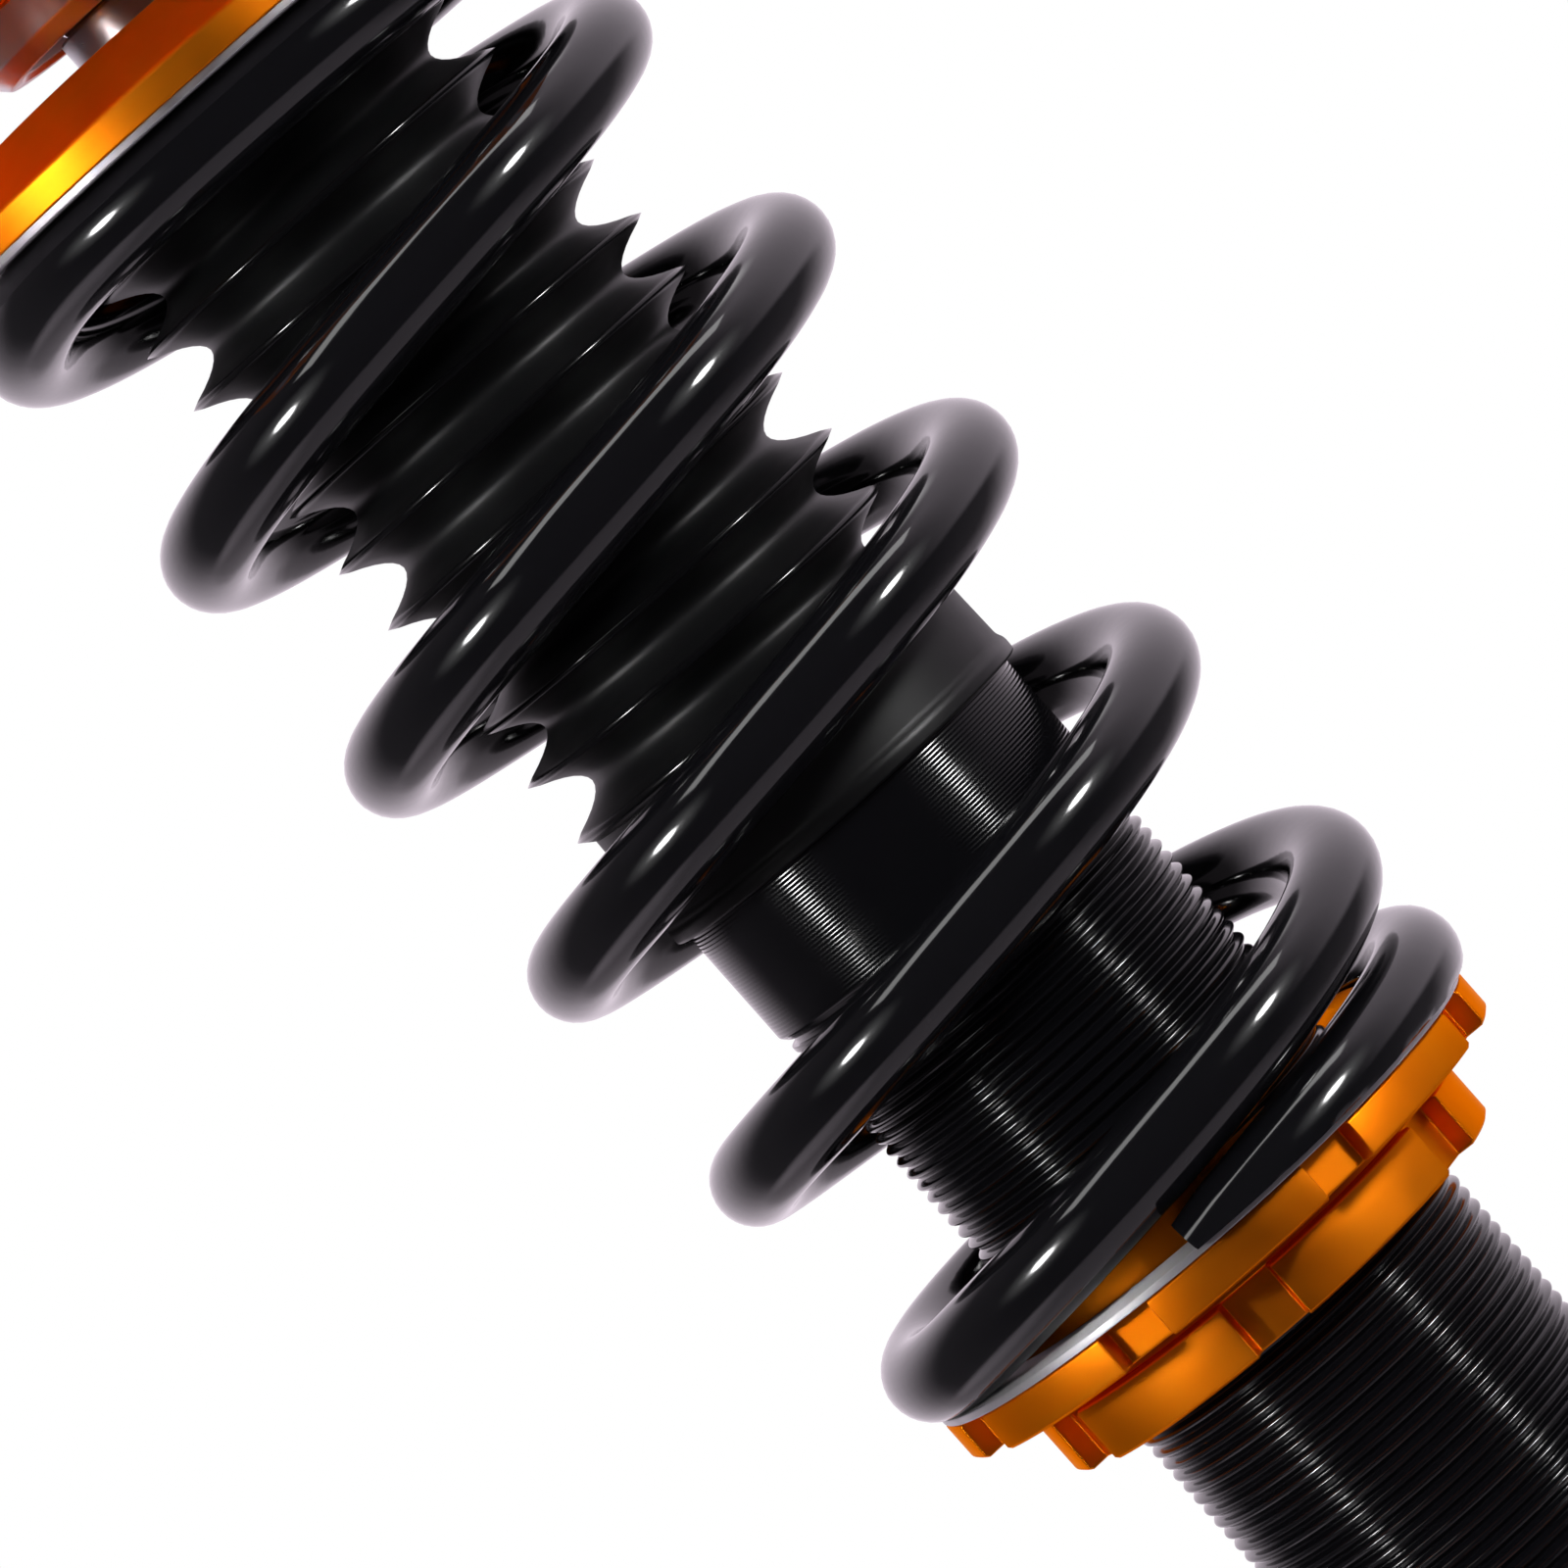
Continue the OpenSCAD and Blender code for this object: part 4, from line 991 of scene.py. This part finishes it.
# %% Tower studs
STUD_CIRCLE, STUD_RADIUS, STUD_COLLAR, STUD_HEAD = 60.0, 4.0, 4.7, 6.5
STUD_DEGREES = (90, 210, 330)
HEAD_PROUD = 0.15
stud_low, stud_high = span("tower_studs")
stud_rows = [(0.0, stud_low - HEAD_PROUD)] + rounded([
    (STUD_HEAD, stud_low - HEAD_PROUD, 0.4), (STUD_HEAD, stud_low + 3), (STUD_COLLAR, stud_low + 3),
    (STUD_COLLAR, -0.3, 0.2), (STUD_RADIUS, -0.3), (STUD_RADIUS, 0.4)])
stud_rows += screw_rows(STUD_RADIUS, 1.25, 0.65, 0.5, stud_high - 0.8, 10)
stud_rows += [(STUD_RADIUS - 0.7, stud_high - 0.1), (STUD_RADIUS - 1, stud_high), (0.0, stud_high)]
stud_spots = [(STUD_CIRCLE * math.cos(a), STUD_CIRCLE * math.sin(a)) for a in np.radians(STUD_DEGREES)]
studs = [grid(revolve(stud_rows, circle(48), spot), closed=False) for spot in stud_spots]
piece(new_object("threaded_tower_studs", studs), zinc, "top_plate", "zinc_steel",
      "tower_studs", sharp=45, weighted=False)


# %% [markdown]
# ## Clamp screws
# Four socket-head screws clamp the bearing housing. Their heads are knurled for the fingers, here by
# a fine wave, and a six-sided hole takes the key.

# %% Clamp screws
SCREW_X, SCREW_Y, SCREW_HEAD, SCREW_RADIUS = 14.0, 30.0, 5.0, 3.0
KNURLS, KNURL_DEPTH = 30, 0.12
screw_spots = [(x, y) for x in (-SCREW_X, SCREW_X) for y in (-SCREW_Y, SCREW_Y)]
flange_high = span("bearing_housing")[1]
screw_low, screw_high = span("housing_screws")
under_head = flange_high + CLEAR
socket = hexagon(4.98)


def knurl(angles):
    return SCREW_HEAD - KNURL_DEPTH + KNURL_DEPTH * np.cos(angles * KNURLS)


screw_line = [(0.0, screw_low), (SCREW_RADIUS - 0.5, screw_low), (SCREW_RADIUS, screw_low + 0.5),
              (SCREW_RADIUS, under_head), (SCREW_HEAD - 0.4, under_head),
              (knurl, under_head + 0.5), (knurl, screw_high - 0.7),
              (SCREW_HEAD - 0.5, screw_high - 0.15), (SCREW_HEAD - 0.9, screw_high),
              (3.2, screw_high), (socket, screw_high - 0.3), (socket, screw_high - 2.5),
              (0.0, screw_high - 3)]
screws = [grid(revolve(screw_line, circle(120), spot), closed=False) for spot in screw_spots]
piece(new_object("knurled_clamp_screws", screws), black_oxide, "top_plate", "black_oxide",
      "housing_screws", sharp=35)


# %% [markdown]
# ## Flat plates
# The camber plate, the housing's flange and the bracket's ears are cut from plate. An outline and
# its holes are filled and made thick, and every rim is bevelled. A 2D curve with a bevel does nearly
# the same, but grows the outline.

# %% Plate helper
def arc(centre, radius, start, stop, steps):
    return [(centre[0] + radius * math.cos(a), centre[1] + radius * math.sin(a))
            for a in map(math.radians, np.linspace(start, stop, steps))]


def hole(centre, radius, steps=48):
    return arc(centre, radius, 0, 360 * (steps - 1) / steps, steps)


def slot_outline(centre, radius, travel, steps=24):
    right, left = (centre[0] + travel, centre[1]), (centre[0] - travel, centre[1])
    return arc(right, radius, -90, 90, steps) + arc(left, radius, 90, 270, steps)


def polar(reach, steps):
    """An outline from its distance in each direction."""
    return [(reach(a) * math.cos(a), reach(a) * math.sin(a))
            for a in np.linspace(0, 2 * math.pi, steps, endpoint=False)]


def cut_plate(name, outline, holes, low, high, edge_mm):
    work = bmesh.new()
    edges = []
    for ring in [outline] + holes:
        corners = [work.verts.new((x * MM, y * MM, low * MM)) for x, y in ring]
        edges += [work.edges.new(pair) for pair in zip(corners[-1:] + corners, corners)]
    bmesh.ops.triangle_fill(work, edges=edges, use_beauty=True)
    grown = bmesh.ops.extrude_face_region(work, geom=work.faces[:])["geom"]
    raised = [v for v in grown if isinstance(v, bmesh.types.BMVert)]
    bmesh.ops.translate(work, verts=raised, vec=(0, 0, (high - low) * MM))
    bmesh.ops.recalc_face_normals(work, faces=work.faces)
    rims = [e for e in work.edges if len(e.link_faces) == 2 and e.calc_face_angle(0) > 1.2
            and abs(e.verts[0].co.z - e.verts[1].co.z) < 1e-7]
    bmesh.ops.bevel(work, geom=rims, offset=edge_mm * MM, segments=2, profile=0.5, affect="EDGES",
                    clamp_overlap=True)
    made = new_object(name)
    work.to_mesh(made.data)
    work.free()
    return made


print("a bolt hole has", len(hole((0, 0), 7)), "corners")


# %% [markdown]
# ## Camber plate
# The plate bolts under the suspension tower. Its outline is a circle cut by three bowed sides, each
# facing away from a stud.

# %% Camber plate
PLATE_RADIUS, BOW, SIDE = 69.0, 105.0, 56.0
SLOT_RADIUS, TRAVEL = 22.8, 8.0


def plate_reach(angle):
    shift = BOW - SIDE
    turns = [angle - math.radians(stud) for stud in STUD_DEGREES]
    return min([PLATE_RADIUS] + [shift * math.cos(a) + math.sqrt(BOW ** 2 - (shift * math.sin(a)) ** 2)
                                 for a in turns])


plate_low = span("camber_plate")[0]
stud_holes = [hole(spot, STUD_COLLAR + 0.05) for spot in stud_spots]
screw_holes = [hole(spot, SCREW_RADIUS + 0.05, 24) for spot in screw_spots]
plate = cut_plate("camber_plate_cut", polar(plate_reach, 360), [slot_outline((0, 0), SLOT_RADIUS, TRAVEL)]
                  + stud_holes + screw_holes, plate_low, 0.0, 0.5)
piece(plate, orange, "top_plate", "orange_anodised", "camber_plate", sharp=50)


# %% [markdown]
# ## Bearing housing
# A flange lies on the plate and a round boss hangs through its slot, with a wide chamfer at its
# lower edge. The boss is turned and the flange is cut, so each is made its own way.

# %% Bearing housing
FLANGE_X, FLANGE_Y, FLANGE_ROUND = 30.0, 38.0, 46.0
BOSS_RADIUS, RACE_RADIUS = 22.5, 17.55


def flange_reach(angle):
    return min(FLANGE_ROUND, FLANGE_X / max(1e-6, abs(math.cos(angle))),
               FLANGE_Y / max(1e-6, abs(math.sin(angle))))


slots = [slot_outline(spot, SCREW_RADIUS + 0.3, TRAVEL, 12) for spot in screw_spots]
flange = cut_plate("housing_flange", polar(flange_reach, 240), [hole((0, 0), 15.0, 96)] + slots,
                   0.0, flange_high, 0.6)
piece(flange, turned_aluminium, "bearing_block", "turned_aluminium", "bearing_housing", sharp=50)

boss_low = span("bearing_housing")[0]
boss_line = rounded([(RACE_RADIUS, boss_low + 0.6, 0.2), (18.2, boss_low, 0.2), (20.2, boss_low, 0.2),
                     (BOSS_RADIUS, boss_low + 2.3, 0.3), (BOSS_RADIUS, -0.01), (RACE_RADIUS, -0.01)])
piece(turned_part("housing_boss", boss_line), turned_aluminium, "bearing_block", "turned_aluminium",
      "bearing_housing", sharp=60)


# %% [markdown]
# ## Bracket socket
# The body screws into a thick tube. Its mouth is chamfered to lead the thread in.

# %% Bracket socket
SOCKET_RADIUS = 32.0
socket_low, socket_high = span("bracket_socket")
line = rounded([(FIT + 0.8, socket_low, 0.2), (SOCKET_RADIUS - 1, socket_low, 0.3),
                (SOCKET_RADIUS, socket_low + 1, 0.3), (SOCKET_RADIUS, socket_high - 1, 0.3),
                (SOCKET_RADIUS - 1, socket_high, 0.3), (FIT + 0.8, socket_high, 0.2),
                (FIT, socket_high - 0.8), (FIT, socket_low + 0.8)])
piece(turned_part("threaded_bracket_socket", line), satin_coat, "bracket", "black_satin",
      "bracket_socket", sharp=50)


# %% [markdown]
# ## Knuckle bracket
# Two thick ears with bolt holes grip the knuckle and a web ties them. They are plates, cut and
# bevelled like the others, then stood on edge.

# %% Knuckle bracket
BOLT_X, BOLT_HOLE, EAR_RADIUS, EAR_THICK, EAR_GAP = 58.0, 7.1, 14.0, 6.0, 30.0
BOLT_DROP, BOLT_SPACING, WEB, ROOT = 17.0, 58.0, 5.0, 23.6
bolt_high = socket_high - BOLT_DROP
bolt_low = bolt_high - BOLT_SPACING
ear_top, ear_bottom = bolt_high + EAR_RADIUS, bolt_low - EAR_RADIUS


def ear_outline():
    notch = socket_low + 0.6
    ring = [(ROOT, ear_top), (ROOT, notch), (ROOT + 5, notch), (ROOT + 5, ear_bottom)]
    ring += arc((BOLT_X, bolt_low), EAR_RADIUS, -90, 0, 16)
    return ring + arc((BOLT_X, bolt_high), EAR_RADIUS, 0, 90, 16)


bolt_holes = [hole((BOLT_X, bolt_high), BOLT_HOLE, 64), hole((BOLT_X, bolt_low), BOLT_HOLE, 64)]
for name, near, far in (("near_ear", -EAR_GAP / 2, -EAR_GAP / 2 - EAR_THICK),
                        ("far_ear", EAR_GAP / 2 + EAR_THICK, EAR_GAP / 2)):
    ear = cut_plate(name, ear_outline(), bolt_holes, -near, -far, 0.7)
    ear.data.transform(Matrix.Rotation(math.radians(90), 4, "X"))
    piece(ear, satin_coat, "bracket", "black_satin", "knuckle_bracket", sharp=50)

web_inner, web_outer, web_half = SOCKET_RADIUS - 1.5, SOCKET_RADIUS + WEB, EAR_GAP / 2 + 0.01
web_outline = [(web_inner, -web_half), (web_outer, -web_half),
               (web_outer, web_half), (web_inner, web_half)]
web = cut_plate("bracket_web", web_outline, [], socket_low, ear_top, 0.6)
piece(web, satin_coat, "bracket", "black_satin", "knuckle_bracket", sharp=50)


# %% [markdown]
# ## Weld beads
# The ears are welded to the socket from top to bottom. A bead is a row of overlapping puddles, about
# 1.8 mm apart, so it is a tube whose radius swells and shrinks along the seam.

# %% Weld beads
BEAD, PUDDLE, SWELL, DROOP = 2.0, 1.8, 0.35, 0.5


def weld(x, y, bottom, top):
    levels = np.linspace(bottom, top, int((top - bottom) / 0.3))
    ends = np.clip(np.minimum(levels - bottom, top - levels) / BEAD, 0, 1) ** 0.5
    ripple = np.abs(np.sin(levels * math.pi / PUDDLE + math.sin(levels[0])))
    sides = circle(16)
    points = np.empty((len(levels), len(sides), 3))
    for i, level in enumerate(levels):
        radius = (BEAD + SWELL * ripple[i]) * ends[i]
        points[i, :, 0] = x + radius * np.cos(sides)
        points[i, :, 1] = y + radius * np.sin(sides)
        points[i, :, 2] = level - DROOP * np.cos(sides) * ends[i]
    return grid(points, closed=False)


seams = []
for side in (-1, 1):
    y = side * (EAR_GAP / 2 + EAR_THICK)
    x = math.sqrt(SOCKET_RADIUS ** 2 - y ** 2)
    seams.append(weld(x + 0.2, y - side * 0.2, socket_low + 1, ear_top - 1))
piece(new_object("weld_beads", seams), satin_coat, "bracket", "black_satin", sharp=80,
      weighted=False)


# %% [markdown]
# ## Parts inside
# What is left sits inside: the bearing, the seal head, the piston and the gas piston. Their CAD shapes
# are right, so they only get their finish.

# %% Parts inside
dressing = {
    turned_steel: ("bearing_race", "base_plug"),
    chrome: ("spherical_ball",),
    spring_steel: ("bearing_circlip", "guide_snap_ring", "valve_shims"),
    turned_aluminium: ("gland_nut", "rod_guide", "gas_piston"),
    sintered: ("piston",),
    filled_ptfe: ("piston_band",),
    bronze: ("guide_bush",),
    foam: ("bump_stop",),
    black_oxide: ("gas_fill_screw",),
    rubber: ("rebound_stop", "rod_wiper", "oil_seal", "guide_o_ring", "gas_piston_o_ring"),
}
for material, nodes in dressing.items():
    for node in nodes:
        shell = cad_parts[node]
        if not shell.material_slots:
            shell.data.materials.append(material)
        for holder in shell.material_slots:
            holder.material = material
print("dressed", sum(len(nodes) for nodes in dressing.values()), "CAD parts")
